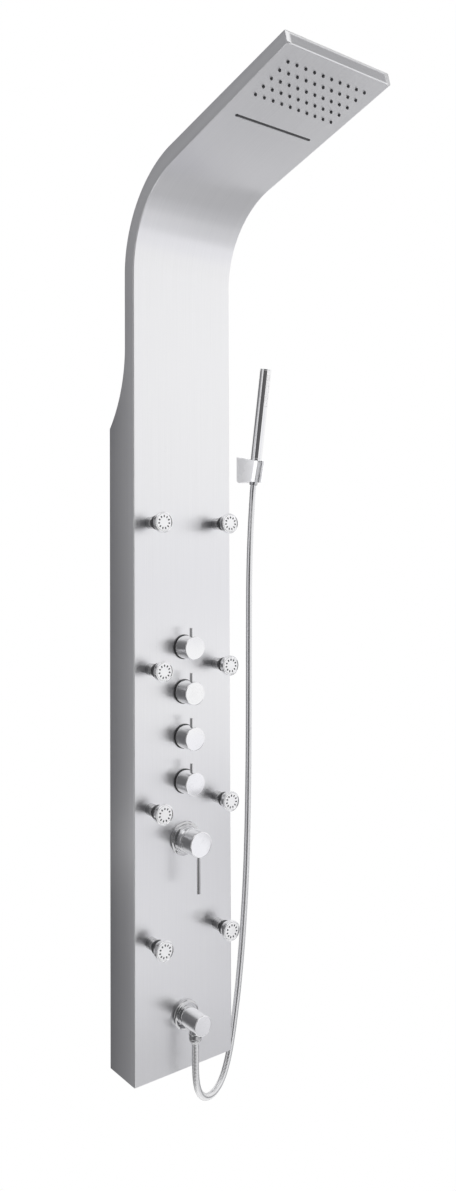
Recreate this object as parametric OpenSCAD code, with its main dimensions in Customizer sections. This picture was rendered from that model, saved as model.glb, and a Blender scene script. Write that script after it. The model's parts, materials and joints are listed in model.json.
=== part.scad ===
// Shower panel column: a folded steel column with a rain arm, eight body jets,
// four valve knobs, a mixer, a hose outlet and a wall-held stick handset.
// Millimetres. Modules are drawn from the panel's bottom edge upwards, with the wall at y = 0
// and the user towards -Y, and to_row() then lowers them to the upper bracket's screw line.

/* [Column sheet] */
// Width of the column and the arm
panel_w = 200; // [180:1:260]
// Depth of the column from the wall to its front face
panel_d = 78; // [74:1:110]
// Thickness of the folded sheet
sheet_t = 1.2; // [0.8:0.1:2]
// Depth of the neck's and the bend's side flanges
neck_d = 27.5; // [26:0.5:34]
// Height at which the neck's flange starts
neck_z = 1225; // [1190:1:1300]
// Radius of the hollow curve between the deep column and the slim neck
step_r = 203; // [120:1:260]
// Depth of the fold that closes the bottom edge
bottom_fold = 30; // [10:1:50]
// Width of the inward lips along the back edges
back_lip = 12; // [6:1:20]

/* [Bend and arm] */
// Height at which the front face starts to bend
bend_z = 1347; // [1320:1:1500]
// Radius of the bend on the front face
bend_r = 150; // [120:1:220]
// Rise of the arm above the horizontal, in degrees
arm_rise = 14; // [8:0.5:25]
// Length of the straight part of the arm
arm_l = 288; // [270:1:360]
// Depth of the arm at its tip
tip_d = 20; // [18:0.5:26]

/* [Rain head] */
// Nozzles in one row across the arm
rain_cols = 10; // [6:1:10]
// Rows of nozzles along the arm
rain_rows = 5; // [3:1:5]
// Spacing of the nozzles across the arm
rain_pitch_x = 16.5; // [10:0.1:17.5]
// Spacing of the rows along the arm
rain_pitch_u = 18.4; // [10:0.1:18.8]
// Distance from the tip to the first row
rain_first_u = 29.2; // [26:0.1:32]
// Radius of a rubber nozzle
nozzle_r = 2.2; // [1.2:0.1:2.4]
// How far a nozzle stands out of the sheet
nozzle_out = 2; // [0.5:0.1:3]
// Radial room around a nozzle in the sheet
nozzle_gap = 0.2; // [0.1:0.05:0.5]
// Thickness of the rubber mat
mat_t = 1.5; // [1:0.1:2]
// Margin of the mat around the outer nozzles
mat_margin = 8; // [6:0.5:9]
// Height of the rain chamber
chamber_h = 10; // [6:0.5:11]
// Wall of the water boxes
box_wall = 1.5; // [1:0.1:2]
// Margin of the chamber around the mat
chamber_margin = 2.5; // [2:0.5:4]
// Length of the inlet block behind a water box
inlet_l = 14; // [10:0.5:16]

/* [Waterfall] */
// Distance from the tip to the middle of the slot
slot_u = 151.7; // [148:0.1:156]
// Length of the slot across the arm
slot_l = 148; // [80:1:160]
// Width of the slot
slot_w = 5; // [4:0.1:6]
// Length of the waterfall box along the arm
fall_box_l = 22; // [14:0.5:28]
// Height of the waterfall box
fall_box_h = 7; // [5:0.1:7.2]
// Margin of the box at both ends of the slot
fall_margin = 4; // [3:0.5:6]

/* [Inner hoses] */
// Outer radius of the two hoses to the arm
feed_r = 5; // [4:0.1:5.5]
// Bore radius of the two hoses to the arm
feed_bore = 3.5; // [2:0.1:3.8]
// Distance of each hose from the middle of the panel
feed_x = 12; // [11:0.5:12.5]
// Outer radius of the hose to the outlet elbow
outlet_r = 6; // [5:0.1:6.5]
// Bore radius of the hose to the outlet elbow
outlet_bore = 4; // [3:0.1:4.5]
// Distance of that hose from the middle of the panel
outlet_x = 52; // [51.5:0.5:53]
// Bend radius of that hose
outlet_bend = 18; // [14:1:22]

/* [Jets] */
// Distance of the jets from the middle of the panel
jet_x = 68.4; // [68:0.1:76]
// Height of the lowest pair
jet_z1 = 229; // [220:1:260]
// Height of the second pair
jet_z2 = 450; // [400:1:470]
// Height of the third pair
jet_z3 = 683; // [640:1:720]
// Height of the highest pair
jet_z4 = 928; // [900:1:960]
// Radius of a jet's fixed neck
jet_neck_r = 10.2; // [8.8:0.1:10.6]
// Length of the neck in front of the sheet
jet_neck_l = 16; // [12:0.5:17]
// Radius of the threaded tail behind the neck
jet_tail_r = 8; // [7:0.1:8.4]
// Length of the tail behind the sheet
jet_tail_l = 12; // [11:0.5:13]
// Radius of the ball that carries the head
ball_r = 7; // [6.6:0.1:7]
// Distance of the ball's centre from the sheet
ball_off = 27.5; // [27.5:0.1:28]
// Radius of the stem behind the ball
ball_stem_r = 3.5; // [3:0.1:3.6]
// Radius of the water way through the jet
jet_bore = 2; // [1.5:0.1:2.5]
// Wall of the seat ring on the ball
seat_wall = 1.95; // [1.8:0.05:2]
// Radius of the head's back collar
head_collar_r = 12; // [11.5:0.1:12.5]
// Radius of the head's rim
head_r = 17.25; // [16:0.05:20]
// Distance of the head's face from the sheet
head_off = 44; // [43:0.5:50]
// Spray holes in a head
head_holes = 11; // [6:1:16]
// Radius of the circle that the spray holes lie on
head_hole_ring = 10.5; // [8:0.1:11]
// Radius of a spray hole
head_hole_r = 1; // [0.5:0.1:1.3]

/* [Valve knobs] */
// Height of the lowest knob
knob_z = 487; // [487:1:495]
// Spacing of the knobs
knob_pitch = 76.4; // [74:0.1:80]
// Radius of a knob
knob_r = 19.75; // [19:0.05:22]
// Distance of a knob's face from the sheet
knob_off = 34; // [32:0.5:40]
// Wall of the knob's cup
knob_wall = 2.5; // [1.5:0.1:3]
// Radius of the lever pin
knob_pin_r = 2.5; // [2:0.1:3]
// How far the lever pin stands out of the knob
knob_pin_out = 14; // [10:0.5:20]
// Distance of the lever pin from the sheet
knob_pin_off = 22; // [20:0.5:24]
// Radius of the turning spindle
spindle_r = 4; // [3:0.1:4.5]
// Outer radius of the dark ring under a knob
ring_r = 21; // [20:0.1:23]
// Thickness of the dark ring
ring_t = 2; // [1:0.1:2.5]

/* [Mixer] */
// Height of the mixer
mixer_z = 390; // [380:1:395]
// Radius of the round escutcheon
escutcheon_r = 29; // [27:0.5:34]
// Thickness of the escutcheon
escutcheon_t = 6.5; // [5:0.5:7]
// Distance of the tilt axis from the sheet
tilt_off = 10; // [9.5:0.1:10.5]
// Radius of the bonnet's dome about the tilt axis
dome_r = 21.6; // [21:0.1:22]
// Radius of the handle
handle_r = 21.5; // [21:0.1:22.5]
// Distance of the handle's back edge from the sheet
handle_back = 19.5; // [19:0.1:20.5]
// Distance of the handle's face from the sheet
handle_off = 50; // [48:0.5:60]
// Radius of the lever
lever_r = 2.8; // [2:0.1:3.5]
// How far the lever hangs below the handle
lever_out = 62; // [50:1:80]
// Distance of the lever from the sheet
lever_off = 42; // [40:0.5:42.5]
// Radius of the ceramic cartridge
cartridge_r = 17.5; // [16.5:0.1:17.5]
// Radius of the inlet threads
inlet_r = 10.48; // [10:0.01:10.6]
// Length of the inlet threads
inlet_thread_l = 15; // [10:0.5:20]
// Distance of each inlet from the middle of the panel
inlet_x = 34; // [33.5:0.1:34.5]

/* [Manifold] */
// Width of the valve manifold
manifold_w = 36; // [36:1:40]
// Depth of the valve manifold
manifold_d = 30; // [28:1:34]
// Metal above and below the outer valves
manifold_end = 22; // [20:1:24]
// Radius of a valve cartridge's body
valve_r = 10; // [9:0.1:11]

/* [Outlet elbow] */
// Height of the outlet elbow
elbow_z = 92; // [88:1:120]
// Radius of the flange
elbow_flange_r = 25; // [22:0.5:30]
// Thickness of the flange
elbow_flange_t = 7; // [4:0.5:9]
// Radius of the elbow's body
elbow_r = 16.75; // [15:0.05:18]
// Distance of the elbow's face from the sheet
elbow_off = 54; // [52:0.5:60]
// Distance of the downward outlet from the sheet
outlet_off = 31; // [30:0.5:36]

/* [Shower hose] */
// Outer radius over the ribs
hose_r = 6; // [5:0.1:7]
// Depth of a rib
rib_depth = 0.8; // [0.3:0.1:1]
// Radius of the hose's bore
hose_bore = 4; // [3:0.1:4.5]
// Ribs along the hose
rib_count = 200; // [60:1:200]
// Length of the lower nut
nut_l = 16; // [15:0.5:24]
// Radius of the lower nut's wide end
nut_r = 11; // [10.8:0.1:12.5]
// Radius of a nut's narrow end
nut_end_r = 7.4; // [7:0.1:8]

/* [Handset and holder] */
// Distance of the holder from the middle of the panel
holder_x = 192; // [180:1:220]
// Height of the holder's upper face on the handset's axis
holder_z = 1049; // [1040:1:1060]
// Distance of the handset's axis from the wall at that height
holder_reach = 39; // [37:0.5:45]
// Width of the holder
holder_w = 31; // [30:0.5:36]
// Lean of the handset towards the user, in degrees
lean = 10.2; // [5:0.1:15]
// Radius of the stick
stick_r = 11; // [10:0.1:12]
// Length of the stick above its nut
stick_l = 171; // [150:1:220]
// Length of the conical nut in the holder
cone_l = 45.7; // [44:0.1:47]
// Radius of the conical nut's upper end
cone_r = 11.6; // [11:0.1:12.5]
// Length of the spray strip
strip_l = 62; // [40:1:80]
// Width of the spray strip
strip_w = 9; // [6:0.5:12]

/* [Wall brackets] */
// Height of the upper bracket's screw line
bracket_upper_z = 1010; // [990:1:1030]
// Height of the lower bracket's screw line
bracket_lower_z = 195; // [170:1:200]
// Distance between the two screw holes of a bracket
screw_pitch = 120; // [80:1:130]
// Radius of a screw hole
screw_r = 3; // [2:0.1:4]
// Thickness of the bracket's plate
plate_t = 3; // [2:0.1:3.5]
// Width of a bracket
bracket_w = 160; // [150:1:164]
// Height of a bracket's plate
bracket_h = 40; // [30:1:44]

/* [Hidden] */

$fn = 72;
// Sides of the large arcs
arc_fn = 180;
// Overrun of every cut
cut = 1;
// Radial room of a running fit
run_gap = 0.05;
// Room between two pieces that only meet
seat_gap = 0.3;
// Edge break of turned parts
edge = 0.8;
// Sides of a hexagon
hex = 6;
// How far the cover's arm runs into its bend, and its step in from the bend's faces
bend_lap = 0.2;
bend_step = 0.1;
// The cuff that joins two lengths of a hose, and its wall over and under the hose's own
cuff_l = 16;
cuff_wall = 0.5;

// The bend's centre, and the arm's tip that follows from it
bend_y = -panel_d - bend_r;
bend_angle = 90 - arm_rise;
flange_r = bend_r + neck_d;
bend_end = [bend_y + bend_r * cos(bend_angle), bend_z + bend_r * sin(bend_angle)];
flange_end = [bend_y + flange_r * cos(bend_angle), bend_z + flange_r * sin(bend_angle)];
tip = [bend_end[0] - arm_l * cos(arm_rise), bend_end[1] + arm_l * sin(arm_rise)];
tip_top = [tip[0] + tip_d * sin(arm_rise), tip[1] + tip_d * cos(arm_rise)];
wedge_reach = 2 * flange_r;
cover_slope = atan((neck_d - tip_d) / arm_l);

// The hollow step's centre and the angle that it turns through
step_y = neck_d - panel_d + step_r;
step_angle = acos(step_y / step_r);
step_z = neck_z - step_r * sin(step_angle);
inner_w = panel_w - 2 * sheet_t;

// Where the fittings stand
jet_heights = [jet_z1, jet_z2, jet_z3, jet_z4];
jet_places = [for (z = jet_heights) for (side = [-1, 1]) [side * jet_x, z]];
knob_places = [for (i = [0:3]) [0, knob_z + (3 - i) * knob_pitch]];
head_inner_r = ball_r + run_gap + seat_wall + run_gap;
head_collar_l = 7;
head_collar_back = ball_off - head_collar_l;
head_face_t = 3;
seat_back = 4.5;
seat_front = 3;
manifold_bottom = knob_z - manifold_end;
manifold_top = knob_z + 3 * knob_pitch + manifold_end;

// The depth of the inner hoses, in the middle of the slim neck
feed_in = neck_d / 2;
rail_r = 6;
tee_size = 18;
rail_in = sheet_t + jet_tail_l + tee_size / 2;
outlet_in = 18;

// Lock nuts
nut_t = 5;
nut_hex_r = 12.5;

// Mixer parts inside the handle
dome_wall = 2.7;
dome_top = 16;
dome_hole_r = 13;
nose_r = dome_r - dome_wall;
nose_off = 9.5;
body_r = 24;
body_d = 40;
arm_block = 22;
arm_in = 25;
arm_end = inlet_x + arm_block / 2;
link_r = 8;
link_in = 20;
cart_back = 30;
cart_off = 3;
carrier_r = 13;
carrier_t = 2.2;
carrier_spigot_r = 8;
carrier_spigot_l = 10;
ear_gap = 4;
ear_w = 3.5;
eye_r = 4;
tilt_pin_r = 2;
stem_half = 3.8;
stem_end = 41;
hub_r = 9;
hub_back = 33;
handle_wall = 2.5;
handle_face_t = 3.5;
inlet_hex_l = 8;
inlet_hex_r = 12.2;
inlet_hex_turn = 30;
inlet_bore = 7;
mixer_hole_r = nose_r + seat_gap;

// Valve and knob parts under the cup
valve_in = 22;
valve_hex_r = 15;
valve_hex_t = 5;
valve_nose_r = 8;
valve_nose_off = 10;
ring_clear = 1;
knob_back = ring_t + ring_clear;
knob_face_t = 3;
knob_hub_r = 7;
knob_hub_off = 12;
spindle_in = 12;
spindle_off = 26.8;
ring_inner_r = 16;

// Elbow parts
elbow_tail_r = 9;
elbow_tail_l = 28;
elbow_block = 24;
elbow_bore = 6;
boss_lip = 0.5;
elbow_boss_r = nut_r + boss_lip;
elbow_boss_l = 3.25;
thread_r = 9.3;
thread_l = 8;
nut_top = elbow_z - elbow_r - elbow_boss_l;
washer_t = 2;
// Share of the lower nut's length that is its straight grip
nut_grip_share = 0.68;

// Holder parts
plate_back = 4;
holder_top_back = 9;
holder_front = 15;
holder_low = 40;
slot_room = 1.7;
holder_slot = 2 * (hose_r + slot_room);
holder_screw_pitch = 26;
holder_screw_r = 2.25;
// The screw heads lie in recesses that open into the seat, this far from the wall
holder_grip = 12;
holder_head_r = 4.5;
stick_wall = 3;
strip_t = 2;
strip_top = 8;
strip_holes = 12;
strip_hole_r = 0.6;
nipple_l = 12;

// Bracket hooks
hook_out = 8;
hook_up = 12;
tab_t = 3;
bar_h = 31;
bar_hook = 11;

// The shower hose's route: down from the elbow, a loop under the panel, up to the handset
hose_points = [
    [0, -109, 56], [0, -109, 27], [0, -109, -2], [7, -106, -30], [25, -98.5, -50],
    [50, -88.5, -57.5], [75.5, -78, -50.5], [92.5, -71, -31], [104.5, -66, -7],
    [113.5, -62.5, 19], [121.5, -59, 47], [130, -56, 80], [138.5, -52, 118], [146, -49, 160],
    [153, -46, 208], [160, -43.5, 268], [165.5, -41, 334], [169.5, -39, 405], [172, -38, 478],
    [173.5, -37.5, 552], [174, -37.5, 626], [174.5, -37.5, 700], [175, -37.5, 770],
    [176.5, -36.5, 832], [180, -34.5, 882], [184, -32, 920], [188, -29.5, 948],
    [191, -28, 970], [192, -28.6, 990.5], [192, -31, 1004]];
last_point = len(hose_points) - 1;
near_shift = [0, -panel_d - outlet_off, nut_top - nut_l] - hose_points[0];
// The hose's modelled tube stops this far short of the handset's nut
hose_end_gap = 0.4;
hose_end = cone_l + hose_end_gap;
far_shift = [holder_x, hose_end * sin(lean) - holder_reach, holder_z - hose_end * cos(lean)]
    - hose_points[last_point];
// The points at both ends keep their shape, and the ones between share the shift
held_points = 3;
hose_route = [for (i = [0:last_point]) let (
        share = min(max((i - held_points) / (last_point - 2 * held_points), 0), 1))
    hose_points[i] + near_shift * (1 - share) + far_shift * share];
route_steps = 12;
hose_sides = 8;
bore_step = 4;
rib_top_share = 0.5;

function unit(v) = v / norm(v);

// A point of the smooth curve along the route, at share t of stretch i
function route_at(p, i, t) = let (
        n = len(p) - 1,
        a = i == 0 ? 2 * p[0] - p[1] : p[i - 1], b = p[i], c = p[i + 1],
        d = i + 1 == n ? 2 * p[n] - p[n - 1] : p[i + 2], s = 1 - t)
    (s * s * s * a + (3 * t * t * t - 6 * t * t + 4) * b
        + (3 * s * s * s - 6 * s * s + 4) * c + t * t * t * d) / 6;

fine_route = concat(
    [for (i = [0:len(hose_route) - 2]) for (k = [0:route_steps - 1])
        route_at(hose_route, i, k / route_steps)],
    [hose_route[len(hose_route) - 1]]);
fine_lengths = [for (i = 0, s = 0; i < len(fine_route);
        s = s + (i + 1 < len(fine_route) ? norm(fine_route[i + 1] - fine_route[i]) : 0), i = i + 1) s];
hose_l = fine_lengths[len(fine_lengths) - 1];
route_tables = [for (axis = [0:2])
    [for (i = [0:len(fine_route) - 1]) [fine_lengths[i], fine_route[i][axis]]]];

// The hose's middle line and direction at length s from the elbow
function hose_at(s) = [for (axis = [0:2]) lookup(s, route_tables[axis])];
function hose_dir(s) = unit(hose_at(min(s + hose_r / 2, hose_l)) - hose_at(max(s - hose_r / 2, 0)));
hose_side = unit([panel_d + outlet_off - holder_reach, holder_x, 0]);
function hose_ring(s, r) = let (
        c = hose_at(s), d = hose_dir(s),
        a = unit(hose_side - (hose_side * d) * d), b = cross(d, a))
    [for (k = [0:hose_sides - 1]) let (q = 360 * k / hose_sides) c + r * (cos(q) * a + sin(q) * b)];

rib_step = (hose_l - 4 * hose_r) / rib_count;
outer_rings = concat(
    [hose_ring(0, hose_r - rib_depth)],
    [for (i = [0:rib_count - 1]) each [
        hose_ring(2 * hose_r + i * rib_step, hose_r - rib_depth),
        hose_ring(2 * hose_r + (i + rib_top_share) * rib_step, hose_r)]],
    [hose_ring(hose_l - 2 * hose_r, hose_r - rib_depth), hose_ring(hose_l, hose_r - rib_depth)]);
bore_rings = [for (i = [0:rib_count / bore_step]) hose_ring(hose_l * i * bore_step / rib_count, hose_bore)];

// Two triangles for each side between ring i and ring i + 1 of a skin that starts at point base
function skin(base, count, out) = [for (i = [0:count - 2]) for (k = [0:hose_sides - 1]) let (
        n = (k + 1) % hose_sides,
        a = base + i * hose_sides + k, b = base + i * hose_sides + n,
        c = a + hose_sides, d = b + hose_sides)
    each (out ? [[a, d, b], [a, c, d]] : [[a, b, d], [a, d, c]])];
function end_faces(p, q, flip) = [for (k = [0:hose_sides - 1]) let (n = (k + 1) % hose_sides)
    each (flip ? [[p + k, q + k, q + n], [p + k, q + n, p + n]]
               : [[p + k, q + n, q + k], [p + k, p + n, q + n]])];

hose_bends = [for (i = [1:len(fine_route) - 2]) let (
        a = fine_route[i] - fine_route[i - 1], b = fine_route[i + 1] - fine_route[i])
    norm(cross(unit(a), unit(b))) / ((norm(a) + norm(b)) / 2)];
echo(hose_length = hose_l, tightest_bend = 1 / max(hose_bends), rib_pitch = rib_step);

module to_row() translate([0, 0, -bracket_upper_z]) children();
// A fitting's own frame: its z runs out of the front face, its y upwards
module fitting(place) translate([place[0], -panel_d, place[1]]) rotate([90, 0, 0]) children();
// The arm's own frame: y runs from the tip along the underside, z up through the arm
module arm_frame() translate([0, tip[0], tip[1]]) rotate([-arm_rise, 0, 0]) children();
// The bend's end frame: y runs outwards from the bend's centre, z on along the arm
module bend_frame() translate([0, bend_y, bend_z]) rotate([bend_angle, 0, 0]) children();
// The handset's own frame: z runs up the stick from the holder's upper face
module handset_frame() translate([holder_x, -holder_reach, holder_z]) rotate([lean, 0, 0]) children();
// Stands a side-view outline up, with its thickness along X
module side_on(x, t) translate([x, 0, 0]) rotate([90, 0, 90]) linear_extrude(t) children();
module turned(points) rotate_extrude() polygon(points);
module rod(r, from, to) translate([0, 0, from]) cylinder(r = r, h = to - from);
module pipe(r, bore, from, to) difference() {
    rod(r, from, to);
    rod(bore, from - cut, to + cut);
}
module block(x, y, z) translate([x[0], y[0], z[0]]) cube([x[1] - x[0], y[1] - y[0], z[1] - z[0]]);
// A curved sheet or tube about an axis along X, from angle a on through angle b
module curved(place, a, b) translate([0, place[0], place[1]]) rotate([90, 0, 90]) rotate([0, 0, a])
    rotate_extrude(angle = b, $fn = arc_fn) children();

// Column

module flange_outline() {
    difference() {
        polygon([[-panel_d, 0], [0, 0], [0, neck_z], [-panel_d, neck_z]]);
        translate([step_y, neck_z]) circle(r = step_r, $fn = arc_fn);
    }
    polygon([[-panel_d, 0], [neck_d - panel_d, 0], [neck_d - panel_d, bend_z], [-panel_d, bend_z]]);
    translate([bend_y, bend_z]) intersection() {
        difference() {
            circle(r = flange_r, $fn = arc_fn);
            circle(r = bend_r, $fn = arc_fn);
        }
        polygon([[0, 0], [wedge_reach, 0],
                 [wedge_reach * cos(bend_angle), wedge_reach * sin(bend_angle)]]);
    }
    polygon([bend_end, tip, tip_top, flange_end]);
}

module rain_places() {
    for (i = [0:rain_cols - 1]) for (k = [0:rain_rows - 1])
        translate([(i - (rain_cols - 1) / 2) * rain_pitch_x, rain_first_u + k * rain_pitch_u, 0])
            children();
}

module slot_shape(w, l, from, to) {
    for (side = [-1, 1]) translate([side * (l - w) / 2, slot_u, 0]) rod(w / 2, from, to);
    block([(w - l) / 2, (l - w) / 2], [slot_u - w / 2, slot_u + w / 2], [from, to]);
}

module column_shell() color("silver") to_row() difference() {
    union() {
        block([-panel_w / 2, panel_w / 2], [-panel_d, sheet_t - panel_d], [0, bend_z]);
        curved([bend_y, bend_z], 0, bend_angle)
            translate([bend_r, -panel_w / 2]) square([sheet_t, panel_w]);
        arm_frame() {
            block([(sheet_t - panel_w) / 2, (panel_w - sheet_t) / 2], [bend_step, arm_l + bend_lap],
                  [bend_step, sheet_t - bend_step]);
            block([(sheet_t - panel_w) / 2, (panel_w - sheet_t) / 2], [bend_step, sheet_t],
                  [bend_step, tip_d - bend_step]);
        }
        side_on(-panel_w / 2, sheet_t) flange_outline();
        side_on(panel_w / 2 - sheet_t, sheet_t) flange_outline();
        block([-panel_w / 2, panel_w / 2], [-panel_d, bottom_fold - panel_d], [0, sheet_t]);
        for (side = [-1, 1]) translate([side * (panel_w - back_lip) / 2, 0, 0])
            block([-back_lip / 2, back_lip / 2], [-sheet_t, 0], [0, step_z - back_lip]);
    }
    for (p = jet_places) fitting(p) rod(jet_tail_r + seat_gap, -sheet_t - cut, cut);
    for (p = knob_places) fitting(p) rod(valve_r + seat_gap, -sheet_t - cut, cut);
    fitting([0, mixer_z]) rod(mixer_hole_r, -sheet_t - cut, cut);
    fitting([0, elbow_z]) rod(elbow_tail_r + seat_gap, -sheet_t - cut, cut);
    arm_frame() {
        rain_places() rod(nozzle_r + nozzle_gap, -cut, sheet_t + cut);
        slot_shape(slot_w, slot_l, -cut, sheet_t + cut);
    }
}

module arm_cover() color("lightgray") to_row() {
    curved([step_y, neck_z], 180, step_angle)
        translate([step_r, -inner_w / 2]) square([sheet_t, inner_w]);
    block([-inner_w / 2, inner_w / 2], [neck_d - panel_d - sheet_t, neck_d - panel_d], [neck_z, bend_z]);
    curved([bend_y, bend_z], 0, bend_angle)
        translate([flange_r - sheet_t, -inner_w / 2]) square([sheet_t, inner_w]);
    arm_frame() intersection() {
        translate([0, 0, tip_d]) rotate([cover_slope, 0, 0])
            block([bend_step - inner_w / 2, inner_w / 2 - bend_step], [-sheet_t, arm_l + neck_d],
                  [bend_step - sheet_t, -bend_step]);
        block([-inner_w / 2, inner_w / 2], [sheet_t, arm_l + bend_lap], [0, neck_d + sheet_t]);
    }
}

// Brackets

module bracket_hook(z, w) translate([0, 0, z + bracket_h / 2]) {
    block([-w / 2, w / 2], [-plate_t - hook_out, -plate_t], [-tab_t, 0]);
    block([-w / 2, w / 2], [-plate_t - hook_out, tab_t - plate_t - hook_out], [-tab_t, hook_up]);
}

module wall_brackets() color("gray") to_row() for (z = [bracket_upper_z, bracket_lower_z]) {
    difference() {
        block([-bracket_w / 2, bracket_w / 2], [-plate_t, 0], [z - bracket_h / 2, z + bracket_h / 2]);
        for (side = [-1, 1]) translate([side * screw_pitch / 2, 0, z]) rotate([90, 0, 0])
            rod(screw_r, -cut, plate_t + cut);
    }
    bracket_hook(z, bracket_w);
}

module cross_bars() color("gray") to_row() for (z = [bracket_upper_z, bracket_lower_z]) {
    low = z + bracket_h / 2 - bar_h / 2;
    high = low + bar_h;
    web = plate_t + hook_out + seat_gap;
    block([-inner_w / 2, inner_w / 2], [-web - tab_t, -web], [low, high]);
    translate([0, 0, high - tab_t]) block([-inner_w / 2, inner_w / 2], [-web, -plate_t - seat_gap], [0, tab_t]);
    block([-bracket_w / 2, bracket_w / 2],
          [-plate_t - hook_out + tab_t + seat_gap, -plate_t - seat_gap],
          [high - bar_hook, high - tab_t]);
}

// Rain head and waterfall

rain_w = (rain_cols - 1) * rain_pitch_x + 2 * mat_margin;
rain_l = (rain_rows - 1) * rain_pitch_u + 2 * mat_margin;
rain_u = rain_first_u - mat_margin;
chamber_end = rain_u + rain_l + chamber_margin;

module rain_nozzle_mat() color("dimgray") to_row() arm_frame() {
    block([-rain_w / 2, rain_w / 2], [rain_u, rain_u + rain_l], [sheet_t, sheet_t + mat_t]);
    rain_places() rod(nozzle_r, -nozzle_out, sheet_t + mat_t / 2);
}

module rain_chamber() color("whitesmoke") to_row() arm_frame() difference() {
    union() {
        block([-rain_w / 2 - chamber_margin, rain_w / 2 + chamber_margin],
              [rain_u - chamber_margin, chamber_end], [sheet_t, sheet_t + mat_t + chamber_h]);
        block([feed_x - feed_r - cut, feed_x + feed_r + cut],
              [chamber_end - box_wall, chamber_end + inlet_l], [sheet_t, feed_in + feed_r]);
    }
    block([-rain_w / 2, rain_w / 2], [rain_u, rain_u + rain_l],
          [sheet_t - cut, sheet_t + mat_t + chamber_h - box_wall]);
    translate([feed_x, chamber_end + inlet_l + cut, feed_in]) rotate([90, 0, 0])
        rod(feed_bore, 0, inlet_l + cut - box_wall);
    translate([feed_x, chamber_end + 2 * box_wall, sheet_t + mat_t + feed_bore]) rotate([90, 0, 0])
        rod(feed_bore, -box_wall, 3 * box_wall + chamber_margin);
    translate([feed_x, chamber_end + 2 * box_wall, sheet_t + mat_t + feed_bore])
        rod(feed_bore, 0, feed_in - sheet_t - mat_t - feed_bore);
}

module waterfall_box() color("whitesmoke") to_row() arm_frame() difference() {
    union() {
        block([-slot_l / 2 - fall_margin, slot_l / 2 + fall_margin],
              [slot_u - fall_box_l / 2, slot_u + fall_box_l / 2], [sheet_t, sheet_t + fall_box_h]);
        block([-feed_x - feed_r - cut, -feed_x + feed_r + cut],
              [slot_u + fall_box_l / 2 - box_wall, slot_u + fall_box_l / 2 + inlet_l],
              [sheet_t, feed_in + feed_r]);
    }
    block([-slot_l / 2 - fall_margin + box_wall, slot_l / 2 + fall_margin - box_wall],
          [slot_u - fall_box_l / 2 + box_wall, slot_u + fall_box_l / 2 - box_wall],
          [sheet_t + box_wall, sheet_t + fall_box_h - box_wall]);
    slot_shape(slot_w, slot_l, sheet_t - cut, sheet_t + fall_box_h / 2);
    translate([-feed_x, slot_u + fall_box_l / 2 + inlet_l + cut, feed_in]) rotate([90, 0, 0])
        rod(feed_bore, 0, inlet_l + cut - box_wall);
}

module feed_hose(x, end_u) translate([x, 0, 0]) {
    translate([0, feed_in - panel_d, 0]) pipe(feed_r, feed_bore, manifold_top, bend_z);
    curved([bend_y, bend_z], 0, bend_angle) translate([bend_r + feed_in, 0]) difference() {
        circle(r = feed_r);
        circle(r = feed_bore);
    }
    bend_frame() translate([0, bend_r + feed_in, 0]) {
        pipe(feed_r + cuff_wall, feed_bore - cuff_wall, -cuff_l / 4, 3 * cuff_l / 4);
        pipe(feed_r, feed_bore, seat_gap, arm_l - end_u);
    }
}

module head_feed_hoses() color("gainsboro") to_row() {
    feed_hose(feed_x, chamber_end + inlet_l);
    feed_hose(-feed_x, slot_u + fall_box_l / 2 + inlet_l);
}

// Jets

module jet_tubes() color("silver") to_row() for (p = jet_places) fitting(p) difference() {
    union() {
        rod(jet_tail_r, -sheet_t - jet_tail_l, 0);
        turned([[0, 0], [jet_neck_r, 0], [jet_neck_r, jet_neck_l - edge],
                [jet_neck_r - edge, jet_neck_l], [0, jet_neck_l]]);
        rod(ball_stem_r, jet_neck_l - edge, ball_off);
        translate([0, 0, ball_off]) sphere(r = ball_r);
    }
    rod(jet_bore, -sheet_t - jet_tail_l - cut, ball_off + ball_r + cut);
}

module jet_seat(i) color("white") to_row() fitting(jet_places[i]) translate([0, 0, ball_off]) difference() {
    intersection() {
        sphere(r = ball_r + run_gap + seat_wall);
        rod(ball_r + 2 * seat_wall, -seat_back, seat_front);
    }
    sphere(r = ball_r + run_gap);
}

module jet_head(i) color("silver") to_row() fitting(jet_places[i]) difference() {
    turned([[0, head_collar_back], [head_collar_r - edge, head_collar_back],
            [head_collar_r, head_collar_back + edge],
            [head_collar_r, ball_off + ball_r / 3], [head_r, head_off - ball_r],
            [head_r, head_off - edge], [head_r - edge, head_off], [0, head_off]]);
    translate([0, 0, ball_off]) sphere(r = head_inner_r);
    rod(ball_r, head_collar_back - cut, ball_off);
    rod(ball_r - seat_wall, ball_off, head_off - head_face_t);
    rod(head_hole_ring + 2 * head_hole_r, head_off - 2 * head_face_t, head_off - head_face_t);
    for (k = [0:head_holes - 1]) rotate([0, 0, 360 * k / head_holes + 90]) translate([head_hole_ring, 0, 0])
        rod(head_hole_r, head_off - head_face_t - cut, head_off + cut);
}

module hex_nut(bore) difference() {
    cylinder(r = nut_hex_r, h = nut_t, $fn = hex);
    rod(bore, -cut, nut_t + cut);
}

module lock_nuts() color("goldenrod") to_row() {
    for (p = jet_places) fitting(p) translate([0, 0, -sheet_t - nut_t]) hex_nut(jet_tail_r + run_gap);
    fitting([0, elbow_z]) translate([0, 0, -sheet_t - nut_t]) hex_nut(elbow_tail_r + run_gap);
}

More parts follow.
